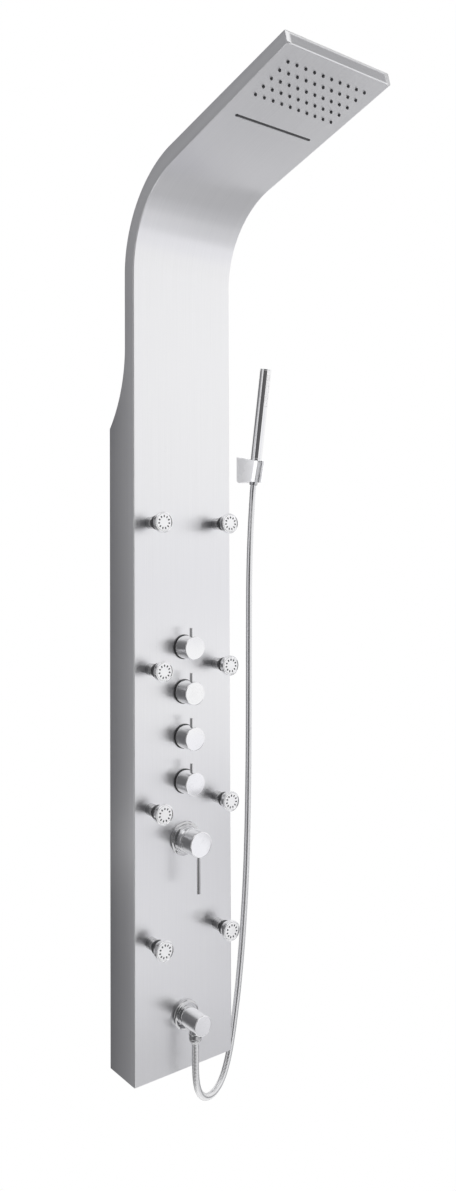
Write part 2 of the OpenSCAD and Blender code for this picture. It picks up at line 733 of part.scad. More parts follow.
module jet_feed_pipes() color("goldenrod") to_row() difference() {
    union() {
        for (p = jet_places) fitting(p) translate([0, 0, -rail_in]) cube(tee_size, center = true);
        for (side = [-1, 1]) {
            translate([side * jet_x, rail_in - panel_d, 0]) rod(rail_r, jet_z1, jet_z4);
            fitting([side * jet_x, knob_places[2][1]]) translate([0, 0, -rail_in])
                cube(tee_size, center = true);
            fitting([side * manifold_w / 2, knob_places[2][1]]) translate([0, 0, -rail_in])
                rotate([0, side * 90, 0]) rod(rail_r, 0, jet_x - manifold_w / 2);
        }
    }
    for (side = [-1, 1]) {
        translate([side * jet_x, rail_in - panel_d, 0]) rod(outlet_bore, jet_z1, jet_z4);
        fitting([side * manifold_w / 2, knob_places[2][1]]) translate([0, 0, -rail_in])
            rotate([0, side * 90, 0]) rod(outlet_bore, -cut, jet_x - manifold_w / 2);
    }
    for (p = jet_places) fitting(p) rod(jet_bore, -rail_in, -sheet_t - jet_tail_l + cut);
}

// Valves and knobs

module valve_manifold() color("goldenrod") to_row() difference() {
    block([-manifold_w / 2, manifold_w / 2], [sheet_t - panel_d, sheet_t + manifold_d - panel_d],
          [manifold_bottom, manifold_top]);
    for (p = knob_places) fitting(p) rod(valve_r + run_gap, -sheet_t - valve_in, 0);
    translate([0, link_in - panel_d, 0]) rod(elbow_bore, manifold_bottom - cut, manifold_top - manifold_end);
    for (side = [-1, 1]) {
        translate([side * feed_x, feed_in - panel_d, 0])
            rod(feed_bore, manifold_top - manifold_end, manifold_top + cut);
        fitting([side * manifold_w / 2, knob_places[2][1]]) translate([0, 0, -rail_in])
            rotate([0, -side * 90, 0]) rod(outlet_bore, -cut, manifold_w / 2);
    }
    fitting([-manifold_w / 2, knob_z]) translate([0, 0, -outlet_in]) rotate([0, 90, 0])
        rod(outlet_bore, -cut, manifold_w / 2);
}

module valve_cartridges() color("goldenrod") to_row() for (p = knob_places) fitting(p) difference() {
    union() {
        rod(valve_r, -sheet_t - valve_in, valve_hex_t);
        cylinder(r = valve_hex_r, h = valve_hex_t, $fn = hex);
        rod(valve_nose_r, 0, valve_nose_off);
    }
    rod(spindle_r + run_gap, -spindle_in - cut, valve_nose_off + cut);
}

module knob_rings() color("black") to_row() for (p = knob_places) fitting(p)
    pipe(ring_r, ring_inner_r, 0, ring_t);

module knob(i) color("silver") to_row() fitting(knob_places[i]) difference() {
    union() {
        turned([[knob_r - knob_wall, knob_back], [knob_r, knob_back], [knob_r, knob_off - edge],
                [knob_r - edge, knob_off], [0, knob_off], [0, knob_off - knob_face_t],
                [knob_r - knob_wall, knob_off - knob_face_t]]);
        rod(knob_hub_r, knob_hub_off, knob_off - knob_face_t);
    }
    rod(spindle_r + run_gap, knob_hub_off - cut, spindle_off + seat_gap);
    translate([0, 0, knob_pin_off]) rotate([-90, 0, 0])
        rod(knob_pin_r + run_gap, knob_r - 2 * knob_wall, knob_r + cut);
}

module knob_pin(i) color("silver") to_row() fitting(knob_places[i])
    translate([0, 0, knob_pin_off]) rotate([-90, 0, 0])
        turned([[0, knob_hub_r + seat_gap], [knob_pin_r, knob_hub_r + seat_gap],
                [knob_pin_r, knob_r + knob_pin_out - edge],
                [knob_pin_r - edge, knob_r + knob_pin_out], [0, knob_r + knob_pin_out]]);

module knob_spindle(i) color("goldenrod") to_row() fitting(knob_places[i])
    rod(spindle_r, -spindle_in, spindle_off);

// Mixer

module mixer_body() color("goldenrod") to_row() fitting([0, mixer_z]) difference() {
    union() {
        rod(body_r, -sheet_t - body_d, -sheet_t);
        rod(nose_r, -sheet_t, nose_off);
        block([-arm_end, arm_end], [-arm_block / 2, arm_block / 2],
              [-arm_in - arm_block / 2, arm_block / 2 - arm_in]);
        translate([0, 0, -link_in]) rotate([-90, 0, 0])
            rod(link_r, body_r / 2, manifold_bottom - mixer_z);
    }
    rod(cartridge_r + run_gap, -cart_back, nose_off + cut);
    translate([0, 0, -link_in]) rotate([-90, 0, 0])
        rod(elbow_bore, body_r / 2, manifold_bottom - mixer_z + cut);
    for (side = [-1, 1]) translate([side * inlet_x, 0, -arm_in]) {
        rotate([90, 0, 0]) rod(inlet_bore, 0, arm_block / 2 + cut);
        rotate([0, -side * 90, 0]) rod(inlet_bore, 0, inlet_x);
    }
}

module mixer_cartridge() color("whitesmoke") to_row() fitting([0, mixer_z]) difference() {
    rod(cartridge_r, run_gap - cart_back, cart_off);
    rod(carrier_spigot_r + run_gap, cart_off - carrier_spigot_l - 2 * seat_gap, cart_off + cut);
}

module mixer_carrier() color("dimgray") to_row() fitting([0, mixer_z]) {
    rod(carrier_spigot_r, cart_off - carrier_spigot_l, cart_off + 2 * seat_gap);
    rod(carrier_r, cart_off + seat_gap, cart_off + seat_gap + carrier_t);
    for (side = [-1, 1]) translate([side * (ear_gap + ear_w / 2), 0, 0]) {
        block([-ear_w / 2, ear_w / 2], [-eye_r, eye_r], [cart_off + seat_gap, tilt_off]);
        translate([-ear_w / 2, 0, tilt_off]) rotate([0, 90, 0]) rod(eye_r, 0, ear_w);
    }
    translate([-ear_gap - ear_w, 0, tilt_off]) rotate([0, 90, 0])
        rod(tilt_pin_r, 0, 2 * (ear_gap + ear_w));
}

module mixer_stem() color("goldenrod") to_row() fitting([0, mixer_z]) difference() {
    union() {
        translate([-stem_half, 0, tilt_off]) rotate([0, 90, 0]) rod(eye_r, 0, 2 * stem_half);
        block([-stem_half, stem_half], [-stem_half, stem_half], [tilt_off, stem_end]);
    }
    translate([-stem_half - cut, 0, tilt_off]) rotate([0, 90, 0])
        rod(tilt_pin_r + run_gap, 0, 2 * (stem_half + cut));
}

module mixer_bonnet() color("silver") to_row() fitting([0, mixer_z]) difference() {
    union() {
        rod(dome_r, escutcheon_t, tilt_off);
        intersection() {
            translate([0, 0, tilt_off]) sphere(r = dome_r);
            rod(dome_r + cut, tilt_off, tilt_off + dome_top);
        }
    }
    rod(nose_r + run_gap, escutcheon_t - cut, tilt_off);
    translate([0, 0, tilt_off]) sphere(r = nose_r + run_gap);
    rod(dome_hole_r, tilt_off, tilt_off + dome_r);
}

module mixer_escutcheon() color("silver") to_row() fitting([0, mixer_z])
    turned([[mixer_hole_r, 0], [escutcheon_r, 0], [escutcheon_r, escutcheon_t / 2 - edge],
            [escutcheon_r - edge, escutcheon_t / 2], [dome_r + 3 * edge, escutcheon_t / 2 + edge],
            [dome_r + 3 * edge, escutcheon_t - edge], [dome_r + 2 * edge, escutcheon_t],
            [mixer_hole_r, escutcheon_t]]);

module mixer_handle() color("silver") to_row() fitting([0, mixer_z]) difference() {
    turned([[0, handle_back], [handle_r, handle_back], [handle_r, handle_off - edge],
            [handle_r - edge, handle_off], [0, handle_off]]);
    difference() {
        union() {
            translate([0, 0, tilt_off]) sphere(r = dome_r + seat_gap);
            rod(handle_r - handle_wall, tilt_off, handle_off - handle_face_t);
        }
        rod(hub_r, hub_back, handle_off);
    }
    block([-stem_half - run_gap, stem_half + run_gap], [-stem_half - run_gap, stem_half + run_gap],
          [hub_back - cut, stem_end + seat_gap]);
    translate([0, 0, lever_off]) rotate([90, 0, 0])
        rod(lever_r + run_gap, handle_r - 2 * handle_wall, handle_r + cut);
}

module mixer_lever() color("silver") to_row() fitting([0, mixer_z])
    translate([0, 0, lever_off]) rotate([90, 0, 0])
        turned([[0, hub_r + seat_gap], [lever_r, hub_r + seat_gap],
                [lever_r, handle_r + lever_out - edge], [lever_r - edge, handle_r + lever_out],
                [0, handle_r + lever_out]]);

module inlet_nipples() color("goldenrod") to_row() for (side = [-1, 1])
    translate([side * inlet_x, arm_in - panel_d, mixer_z - arm_block / 2]) rotate([180, 0, 0]) difference() {
        union() {
            rotate([0, 0, inlet_hex_turn]) cylinder(r = inlet_hex_r, h = inlet_hex_l, $fn = hex);
            rod(inlet_r, 0, inlet_hex_l + inlet_thread_l);
        }
        rod(inlet_bore, -cut, inlet_hex_l + inlet_thread_l + cut);
    }

// Outlet elbow and its hose

module elbow_flange() color("silver") to_row() fitting([0, elbow_z])
    turned([[elbow_tail_r + run_gap, 0], [elbow_flange_r, 0],
            [elbow_flange_r, elbow_flange_t - 2 * edge], [elbow_flange_r - edge, elbow_flange_t - edge / 2],
            [elbow_flange_r - 2 * edge, elbow_flange_t], [elbow_tail_r + run_gap, elbow_flange_t]]);

module elbow_body() color("silver") to_row() fitting([0, elbow_z]) difference() {
    union() {
        rod(elbow_tail_r, -sheet_t - elbow_tail_l, elbow_flange_t);
        block([-elbow_block / 2, elbow_block / 2], [-elbow_block / 2, elbow_block / 2],
              [-sheet_t - elbow_tail_l, -sheet_t - nut_t - seat_gap]);
        turned([[0, elbow_flange_t], [elbow_r, elbow_flange_t], [elbow_r, elbow_off - edge],
                [elbow_r - edge, elbow_off], [0, elbow_off]]);
        translate([0, 0, outlet_off]) rotate([90, 0, 0]) {
            rod(elbow_boss_r, 0, elbow_z - nut_top - seat_gap);
            rod(thread_r - run_gap, 0, elbow_z - nut_top + thread_l);
        }
    }
    rod(elbow_bore, elbow_bore - sheet_t - elbow_tail_l, outlet_off);
    translate([0, 0, outlet_off]) rotate([90, 0, 0])
        rod(elbow_bore, -elbow_bore, elbow_z - nut_top + thread_l + cut);
    translate([0, 0, -outlet_in]) rotate([0, -90, 0]) rod(outlet_bore, 0, elbow_block);
}

module elbow_feed_hose() color("gainsboro") to_row() {
    in_y = outlet_in - panel_d;
    turn = outlet_x - outlet_bend;
    translate([-turn, in_y, knob_z]) rotate([0, 90, 0])
        pipe(outlet_r, outlet_bore, 0, turn - manifold_w / 2);
    translate([-turn, in_y, elbow_z]) rotate([0, 90, 0])
        pipe(outlet_r, outlet_bore, 0, turn - elbow_block / 2);
    translate([-outlet_x, in_y, 0]) pipe(outlet_r, outlet_bore, elbow_z + outlet_bend, knob_z - outlet_bend);
    for (end = [[knob_z - outlet_bend, 90], [elbow_z + outlet_bend, 180]])
        translate([-turn, in_y, end[0]]) rotate([90, 0, 0]) rotate([0, 0, end[1]])
            rotate_extrude(angle = 90) translate([outlet_bend, 0]) difference() {
                circle(r = outlet_r);
                circle(r = outlet_bore);
            }
}

module hose_nut_lower() color("silver") to_row() translate([0, -panel_d - outlet_off, 0]) difference() {
    turned([[0, nut_top - nut_l], [nut_end_r, nut_top - nut_l], [nut_r, nut_top - nut_l * nut_grip_share],
            [nut_r, nut_top - edge], [nut_r - edge, nut_top], [0, nut_top]]);
    rod(thread_r, nut_top - thread_l - washer_t, nut_top + cut);
    rod(hose_bore, nut_top - nut_l - cut, nut_top);
}

module shower_hose() color("silver") to_row() {
    outer_count = len(outer_rings);
    bore_count = len(bore_rings);
    base = outer_count * hose_sides;
    polyhedron(
        points = [for (ring = concat(outer_rings, bore_rings)) each ring],
        faces = concat(
            skin(0, outer_count, true), skin(base, bore_count, false),
            end_faces(0, base, false),
            end_faces((outer_count - 1) * hose_sides, base + (bore_count - 1) * hose_sides, true)));
}

// Handset and holder

module hose_nut_upper() color("silver") to_row() handset_frame() difference() {
    turned([[0, -cone_l], [nut_end_r, -cone_l], [cone_r, -edge], [cone_r - edge, 0], [0, 0]]);
    rod(thread_r, -nipple_l - washer_t, cut);
    rod(hose_bore, -cone_l - cut, 0);
}

module handset_body() color("silver") to_row() handset_frame() difference() {
    union() {
        rod(thread_r - run_gap, -nipple_l, seat_gap + edge);
        turned([[0, seat_gap], [stick_r, seat_gap], [stick_r, stick_l - 2 * edge],
                [stick_r - edge / 2, stick_l - edge / 2], [stick_r - 2 * edge, stick_l], [0, stick_l]]);
    }
    rod(elbow_bore, -nipple_l - cut, stick_l - stick_wall);
    block([-strip_w / 2, strip_w / 2], [-stick_r - cut, strip_t - stick_r],
          [stick_l - strip_top - strip_l, stick_l - strip_top]);
}

module handset_nozzle() color("dimgray") to_row() handset_frame() difference() {
    intersection() {
        rod(stick_r, stick_l - strip_top - strip_l, stick_l - strip_top);
        block([-strip_w / 2 + run_gap, strip_w / 2 - run_gap], [-stick_r - cut, strip_t - stick_r],
              [stick_l - strip_top - strip_l + run_gap, stick_l - strip_top - run_gap]);
    }
    for (k = [0:strip_holes - 1]) for (side = [-1, 1])
        translate([side * strip_w / 5, 0, stick_l - strip_top - strip_l + (k + 0.5) * strip_l / strip_holes])
            rotate([90, 0, 0]) rod(strip_hole_r, stick_r - strip_t - cut, stick_r + cut);
}

module handset_holder() color("lightgray") to_row() difference() {
    side_on(holder_x - holder_w / 2, holder_w) polygon([
        [0, holder_z + holder_top_back], [-holder_reach - holder_front, holder_z - 2 * edge],
        [-holder_reach - holder_front / 3, holder_z - holder_low],
        [-plate_back, holder_z - holder_low], [0, holder_z - holder_low + plate_back]]);
    handset_frame() {
        translate([0, 0, -cone_l - seat_gap])
            cylinder(r1 = nut_end_r + seat_gap, r2 = cone_r + seat_gap, h = cone_l);
        rod(cone_r + seat_gap, -2 * seat_gap, stick_l);
        rod(nut_end_r + seat_gap, -2 * cone_l, -cone_l);
        block([-holder_slot / 2, holder_slot / 2], [-3 * holder_front, 0], [-2 * cone_l, cone_l]);
    }
    for (side = [-1, 1])
        translate([holder_x, 0, holder_z - holder_low / 2 + side * holder_screw_pitch / 2])
            rotate([90, 0, 0]) {
                rod(holder_screw_r, -cut, holder_reach);
                rod(holder_head_r, holder_grip, holder_reach);
            }
}

column_shell();
arm_cover();
cross_bars();
wall_brackets();
rain_chamber();
rain_nozzle_mat();
waterfall_box();
head_feed_hoses();
jet_tubes();
lock_nuts();
jet_feed_pipes();
valve_manifold();
valve_cartridges();
knob_rings();
mixer_body();
mixer_cartridge();
mixer_bonnet();
mixer_escutcheon();
inlet_nipples();
elbow_flange();
elbow_body();
elbow_feed_hose();
handset_holder();
hose_nut_lower();
shower_hose();
mixer_carrier();
mixer_stem();
mixer_handle();
mixer_lever();
handset_body();
handset_nozzle();
hose_nut_upper();
for (i = [0:7]) {
    jet_seat(i);
    jet_head(i);
}
for (i = [0:3]) {
    knob(i);
    knob_pin(i);
    knob_spindle(i);
}
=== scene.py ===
"""Looks of a steel shower panel column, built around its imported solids.

The studio comes first, then the hose, the folded sheets, the fittings and the inner works. Every
size is in millimetres on the panel, measured from its bottom edge and from the wall, and is turned
into the row frame, in metres, when a mesh is made.
"""

import json
import logging
import math
from dataclasses import dataclass
from enum import Enum
from typing import Any, Sequence

import bmesh
import bpy
from mathutils import Matrix, Vector


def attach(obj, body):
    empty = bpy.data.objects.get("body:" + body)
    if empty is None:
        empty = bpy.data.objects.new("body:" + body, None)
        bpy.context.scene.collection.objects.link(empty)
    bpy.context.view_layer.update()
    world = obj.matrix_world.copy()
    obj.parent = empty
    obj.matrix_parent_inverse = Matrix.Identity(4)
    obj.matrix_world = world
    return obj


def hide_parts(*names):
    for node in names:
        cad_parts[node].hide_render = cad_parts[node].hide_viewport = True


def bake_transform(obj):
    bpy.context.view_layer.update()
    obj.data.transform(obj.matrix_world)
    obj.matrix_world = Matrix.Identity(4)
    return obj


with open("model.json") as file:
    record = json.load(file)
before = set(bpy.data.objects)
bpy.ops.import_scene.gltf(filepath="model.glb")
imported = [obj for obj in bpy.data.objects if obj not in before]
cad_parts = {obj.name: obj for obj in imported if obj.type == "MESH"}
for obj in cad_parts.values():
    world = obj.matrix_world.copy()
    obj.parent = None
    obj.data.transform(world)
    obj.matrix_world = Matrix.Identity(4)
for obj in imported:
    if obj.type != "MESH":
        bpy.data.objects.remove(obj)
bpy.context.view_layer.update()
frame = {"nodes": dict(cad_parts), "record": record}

log = logging.getLogger("shower_panel")

MM = 0.001
WELD = 1e-5
SCREW_LINE = 1010.0
JET_SIDE = 68.4
JET_HEIGHTS = (229.0, 450.0, 683.0, 928.0)
KNOB_HEIGHTS = (716.2, 639.8, 563.4, 487.0)

# Types

Point = tuple[float, float]
Place = tuple[float, float, float]
Profile = Sequence[Place]
Colour = tuple[float, float, float]
Piece = bpy.types.Object
Mesh = bpy.types.Mesh
Draft = bmesh.types.BMesh
Material = bpy.types.Material
Tree = bpy.types.NodeTree
Node = bpy.types.Node
Socket = bpy.types.NodeSocket


class Body(Enum):
    """Names of the bodies that the pieces ride on."""

    PANEL = "panel"
    HANDSET = "handset"
    MIXER_GRIP = "mixer_grip"


class SheetMap(Enum):
    """Maps that a piece carries for its pattern."""

    GRAIN = "grain_map"


# Places and frames


def on_panel(x: float, y: float, z: float) -> Vector:
    """A place in metres, from millimetres across, from the wall and above the panel's bottom edge."""
    return Vector((x * MM, y * MM, (z - SCREW_LINE) * MM))


def fitting_frame(x: float, z: float) -> Matrix:
    """The frame of a fitting on the front face, whose z runs out of the face and y upwards."""
    turn = Matrix(((1, 0, 0), (0, 0, -1), (0, 1, 0))).to_4x4()
    return Matrix.Translation(on_panel(x, -SHEET.depth, z)) @ turn @ Matrix.Scale(MM, 4)


def arm_frame() -> Matrix:
    """The straight arm's frame: y runs from the tip along the underside, z up through the arm."""
    turn = Matrix.Rotation(math.radians(-SHEET.arm_rise), 4, "X")
    return Matrix.Translation(on_panel(0, *SHEET.tip())) @ turn @ Matrix.Scale(MM, 4)


def face_down(place: Matrix) -> Matrix:
    """A frame whose z runs down where the given fitting's y runs up."""
    return place @ Matrix.Rotation(math.radians(90), 4, "X")


def face_up(place: Matrix) -> Matrix:
    """A frame whose z runs up where the given fitting's y runs up."""
    return place @ Matrix.Rotation(math.radians(-90), 4, "X")


# Mesh making


def link_to_scene(name: str, data: Any) -> Piece:
    """Makes an object of some data and links it to the scene.

    Args:
        name: Name of the object.
        data: Its mesh, curve, lamp or camera.

    Returns:
        The object.
    """
    piece = bpy.data.objects.new(name, data)
    bpy.context.scene.collection.objects.link(piece)
    return piece


def settle(name: str, bm: Draft) -> Mesh:
    """Writes a draft into a new mesh.

    Args:
        name: Name of the mesh.
        bm: The draft, which is freed.

    Returns:
        The mesh.
    """
    mesh = bpy.data.meshes.new(name)
    bm.to_mesh(mesh)
    bm.free()
    return mesh


def add_object(name: str, bm: Draft, place: Matrix, material: Material, sharp: float = 35.0) -> Piece:
    """Turns a draft into a piece at the origin, with its place in its vertices.

    Args:
        name: Name of the new piece.
        bm: The draft, which is freed.
        place: Frame that its vertices are given in.
        material: Finish of the whole piece.
        sharp: Angle in degrees above which an edge shades sharp.

    Returns:
        The new piece.
    """
    bmesh.ops.remove_doubles(bm, verts=bm.verts, dist=WELD)
    bmesh.ops.recalc_face_normals(bm, faces=bm.faces)
    mesh = settle(name, bm)
    mesh.transform(place)
    return add_mesh(name, mesh, material, sharp)


def add_mesh(name: str, mesh: Mesh, material: Material, sharp: float = 35.0) -> Piece:
    """Links a finished mesh to the scene as a smooth piece.

    Args:
        name: Name of the new piece.
        mesh: Mesh in the row frame.
        material: Finish of the whole piece.
        sharp: Angle in degrees above which an edge shades sharp.

    Returns:
        The new piece.
    """
    mesh.materials.clear()
    mesh.materials.append(material)
    shade(mesh, sharp)
    return link_to_scene(name, mesh)


def shade(mesh: Mesh, sharp: float) -> None:
    """Shades a mesh smooth up to an angle in degrees."""
    mesh.polygons.foreach_set("use_smooth", [True] * len(mesh.polygons))
    mesh.set_sharp_from_angle(angle=math.radians(sharp))


def shaped(piece: Piece) -> Mesh:
    """A plain mesh of a piece with its modifiers applied."""
    graph = bpy.context.evaluated_depsgraph_get()
    return bpy.data.meshes.new_from_object(piece.evaluated_get(graph), depsgraph=graph)


def bake_modifiers(piece: Piece) -> Piece:
    """Applies a piece's modifiers to its mesh.

    Args:
        piece: The piece, at the origin.

    Returns:
        The same piece with a plain mesh.
    """
    mesh = shaped(piece)
    piece.modifiers.clear()
    piece.data = mesh
    return piece


def soften(points: Profile, steps: int = 4, hold: float = 0.35) -> list[Point]:
    """Rounds the corners of a profile and holds its straight runs flat.

    Args:
        points: Radius, height and rounding of each corner, in order.
        steps: Stretches of each rounded corner.
        hold: Distance of the extra ring that keeps a flat face flat.

    Returns:
        The profile's points as radius and height.
    """
    made: list[Point] = []
    last = len(points) - 1
    for i, (r, z, radius) in enumerate(points):
        here = Vector((r, z))
        if i in (0, last) or radius <= 0:
            made.append((r, z))
            continue
        back = Vector(points[i - 1][:2]) - here
        ahead = Vector(points[i + 1][:2]) - here
        cut = min(radius, back.length * 0.45, ahead.length * 0.45)
        start, end = here + back.normalized() * cut, here + ahead.normalized() * cut
        if back.length > cut + 3 * hold:
            made.append(tuple(start + back.normalized() * hold))
        for k in range(steps + 1):
            t = k / steps
            made.append(tuple(start * (1 - t) ** 2 + here * 2 * t * (1 - t) + end * t ** 2))
        if ahead.length > cut + 3 * hold:
            made.append(tuple(end + ahead.normalized() * hold))
    return made


def lathe(name: str, profile: Profile, place: Matrix, material: Material, sides: int = 96) -> Piece:
    """Turns a profile round the frame's z axis.

    Args:
        name: Name of the new piece.
        profile: Radius, height and rounding of each corner, in millimetres.
        place: Frame of the turned piece.
        material: Its finish.
        sides: Faces round the axis.

    Returns:
        The new piece.
    """
    bm = bmesh.new()
    turn_into(bm, profile, sides)
    return add_object(name, bm, place, material)


def turn_into(bm: Draft, profile: Profile, sides: int) -> None:
    """Adds a turned profile to a draft.

    Args:
        bm: The draft to add to.
        profile: Radius, height and rounding of each corner.
        sides: Faces round the axis.
    """
    rings: list[list[bmesh.types.BMVert]] = []
    for r, z in soften(profile):
        if r < 1e-6:
            rings.append([bm.verts.new((0, 0, z))])
            continue
        rings.append([bm.verts.new((r * math.cos(a), r * math.sin(a), z))
                      for a in (math.tau * k / sides for k in range(sides))])
    for low, high in zip(rings, rings[1:]):
        for k in range(sides):
            n = (k + 1) % sides
            corners = [low[k], low[n]] if len(low) > 1 else [low[0]]
            corners += [high[n], high[k]] if len(high) > 1 else [high[0]]
            if len(corners) > 2:
                bm.faces.new(corners)


def stamp(bm: Draft, profile: Profile, sides: int, place: Matrix) -> None:
    """Adds a small turned shape to a draft, at a place of its own.

    Args:
        bm: The draft to add to.
        profile: Radius, height and rounding of each corner.
        sides: Faces round the axis.
        place: The shape's place in the draft.
    """
    part = bmesh.new()
    turn_into(part, profile, sides)
    mesh = settle("stamp", part)
    mesh.transform(place)
    bm.from_mesh(mesh)
    bpy.data.meshes.remove(mesh)


def slab(bm: Draft, x: Point, y: Point, z: Point, bevel: float) -> None:
    """Adds a block with broken edges to a draft.

    Args:
        bm: The draft to add to.
        x: Lowest and highest x.
        y: Lowest and highest y.
        z: Lowest and highest z.
        bevel: Width of the edge break.
    """
    made = bmesh.ops.create_cube(bm, size=1.0)["verts"]
    size = Vector((x[1] - x[0], y[1] - y[0], z[1] - z[0]))
    middle = Vector((x[0] + x[1], y[0] + y[1], z[0] + z[1])) / 2
    for v in made:
        v.co = Vector(a * b for a, b in zip(v.co, size)) + middle
    edges = list({e for v in made for e in v.link_edges})
    bmesh.ops.bevel(bm, geom=edges, offset=bevel, segments=2, profile=0.7, affect="EDGES")


def declare(piece: Piece, body: str, node: str = "") -> None:
    """Tells the frame what a piece is.

    Args:
        piece: The piece.
        body: The body that it rides on.
        node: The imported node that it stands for, if it does.
    """
    if node:
        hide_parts(node)
    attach(piece, body)


# Node trees


class Sketch:
    """A node tree that is being written, with short ways to add and join nodes."""

    def __init__(self, tree: Tree) -> None:
        """Starts from the tree, emptied."""
        self.tree = tree
        tree.nodes.clear()

    def add(self, kind: str, inputs: dict[str | int, Any] | None = None, **settings: Any) -> Node:
        """Adds one node.

        Args:
            kind: Node type.
            inputs: Values or sockets for its inputs, by name or place.
            **settings: The node's own settings.

        Returns:
            The new node.
        """
        node = self.tree.nodes.new(kind)
        for key, value in settings.items():
            setattr(node, key, value)
        for key, value in (inputs or {}).items():
            if isinstance(value, Socket):
                self.join(value, node.inputs[key])
            else:
                node.inputs[key].default_value = value
        return node

    def join(self, source: Socket, target: Socket) -> None:
        """Links one socket to another."""
        self.tree.links.new(source, target)

    def place(self) -> Socket:
        """The piece's Object coordinates."""
        return self.add("ShaderNodeTexCoord").outputs["Object"]

    def maths(self, what: str, a: Any, b: Any = 0.0) -> Socket:
        """The result of a Math node on one or two values."""
        return self.add("ShaderNodeMath", {0: a, 1: b}, operation=what).outputs[0]

    def noise(self, vector: Any, scale: float, detail: float = 2.0, rough: float = 0.5) -> Socket:
        """The value of a Noise Texture."""
        given = {"Vector": vector, "Scale": scale, "Detail": detail, "Roughness": rough}
        return self.add("ShaderNodeTexNoise", given).outputs[0]

    def span(self, value: Any, low: float, high: float, to_low: float, to_high: float) -> Socket:
        """Carries a value over from one range to another."""
        ends = dict(enumerate((value, low, high, to_low, to_high)))
        return self.add("ShaderNodeMapRange", ends).outputs[0]

    def fade(self, value: Any, low: float, high: float) -> Socket:
        """A smooth step from 0 to 1 between two values."""
        ends = dict(enumerate((value, low, high, 0.0, 1.0)))
        return self.add("ShaderNodeMapRange", ends, interpolation_type="SMOOTHSTEP").outputs[0]

    def seen(self) -> Socket:
        """1 for the camera and for what metal and glass mirror, and 0 for all other light.

        Returns:
            The value's socket.
        """
        path = self.add("ShaderNodeLightPath").outputs
        mirrored = self.maths("MAXIMUM", path["Is Glossy Ray"], path["Is Transmission Ray"])
        return self.maths("MAXIMUM", path["Is Camera Ray"], mirrored)

    def mix_out(self, share: Socket, low: Node, high: Node) -> None:
        """Ends a material in two shaders, mixed by a share."""
        mixed = self.add("ShaderNodeMixShader", {0: share, 1: low.outputs[0], 2: high.outputs[0]})
        self.add("ShaderNodeOutputMaterial", {"Surface": mixed.outputs[0]})


class Group(Sketch):
    """A node group that is being written, with named inputs and outputs."""

    def __init__(self, tree_kind: str, name: str, inputs: dict[str, str], outputs: dict[str, str]) -> None:
        """Starts the group.

        Args:
            tree_kind: Kind of its tree.
            name: Its name.
            inputs: Kind of each input.
            outputs: Kind of each output.
        """
        tree = bpy.data.node_groups.new(name, tree_kind)
        self.keys: dict[tuple[str, str], str] = {}
        for way, sockets in (("INPUT", inputs), ("OUTPUT", outputs)):
            for key, kind in sockets.items():
                socket = tree.interface.new_socket(name=key, in_out=way, socket_type="NodeSocket" + kind)
                self.keys[way, key] = socket.identifier
        super().__init__(tree)
        self.given = self.add("NodeGroupInput").outputs
        self.out = self.add("NodeGroupOutput").inputs


class ShapeTree(Group):
    """A Geometry Nodes tree that is being written, with its named inputs."""

    def __init__(self, name: str, inputs: dict[str, str]) -> None:
        """Starts the tree, with the kind of each input besides its geometry."""
        shape = {"Geometry": "Geometry"}
        super().__init__("GeometryNodeTree", name, {**shape, **inputs}, shape)

    def end(self, shape: Socket, material: Material) -> None:
        """Ends the tree in real geometry with its finish.

        Args:
            shape: The geometry.
            material: Its finish.
        """
        real = self.add("GeometryNodeRealizeInstances", {"Geometry": shape})
        done = self.add("GeometryNodeSetMaterial", {"Geometry": real.outputs[0], "Material": material})
        self.join(done.outputs[0], self.out[0])

    def grow(self, name: str, data: Any, values: dict[str, float]) -> Mesh:
        """Runs the tree.

        Args:
            name: Name of what the tree stands on.
            data: The line or the empty mesh that it starts from.
            values: The value of each named input.

        Returns:
            The result as a plain mesh.
        """
        carrier = link_to_scene(name, data)
        modifier = carrier.modifiers.new(name, "NODES")
        modifier.node_group = self.tree
        for key, value in values.items():
            modifier[self.keys["INPUT", key]] = value
        mesh = shaped(carrier)
        bpy.data.objects.remove(carrier)
        return mesh


def blank_material(name: str) -> Material:
    """A new material that uses nodes.

    Args:
        name: Its name.

    Returns:
        The material.
    """
    material = bpy.data.materials.new(name)
    material.use_nodes = True
    return material


# Finishes


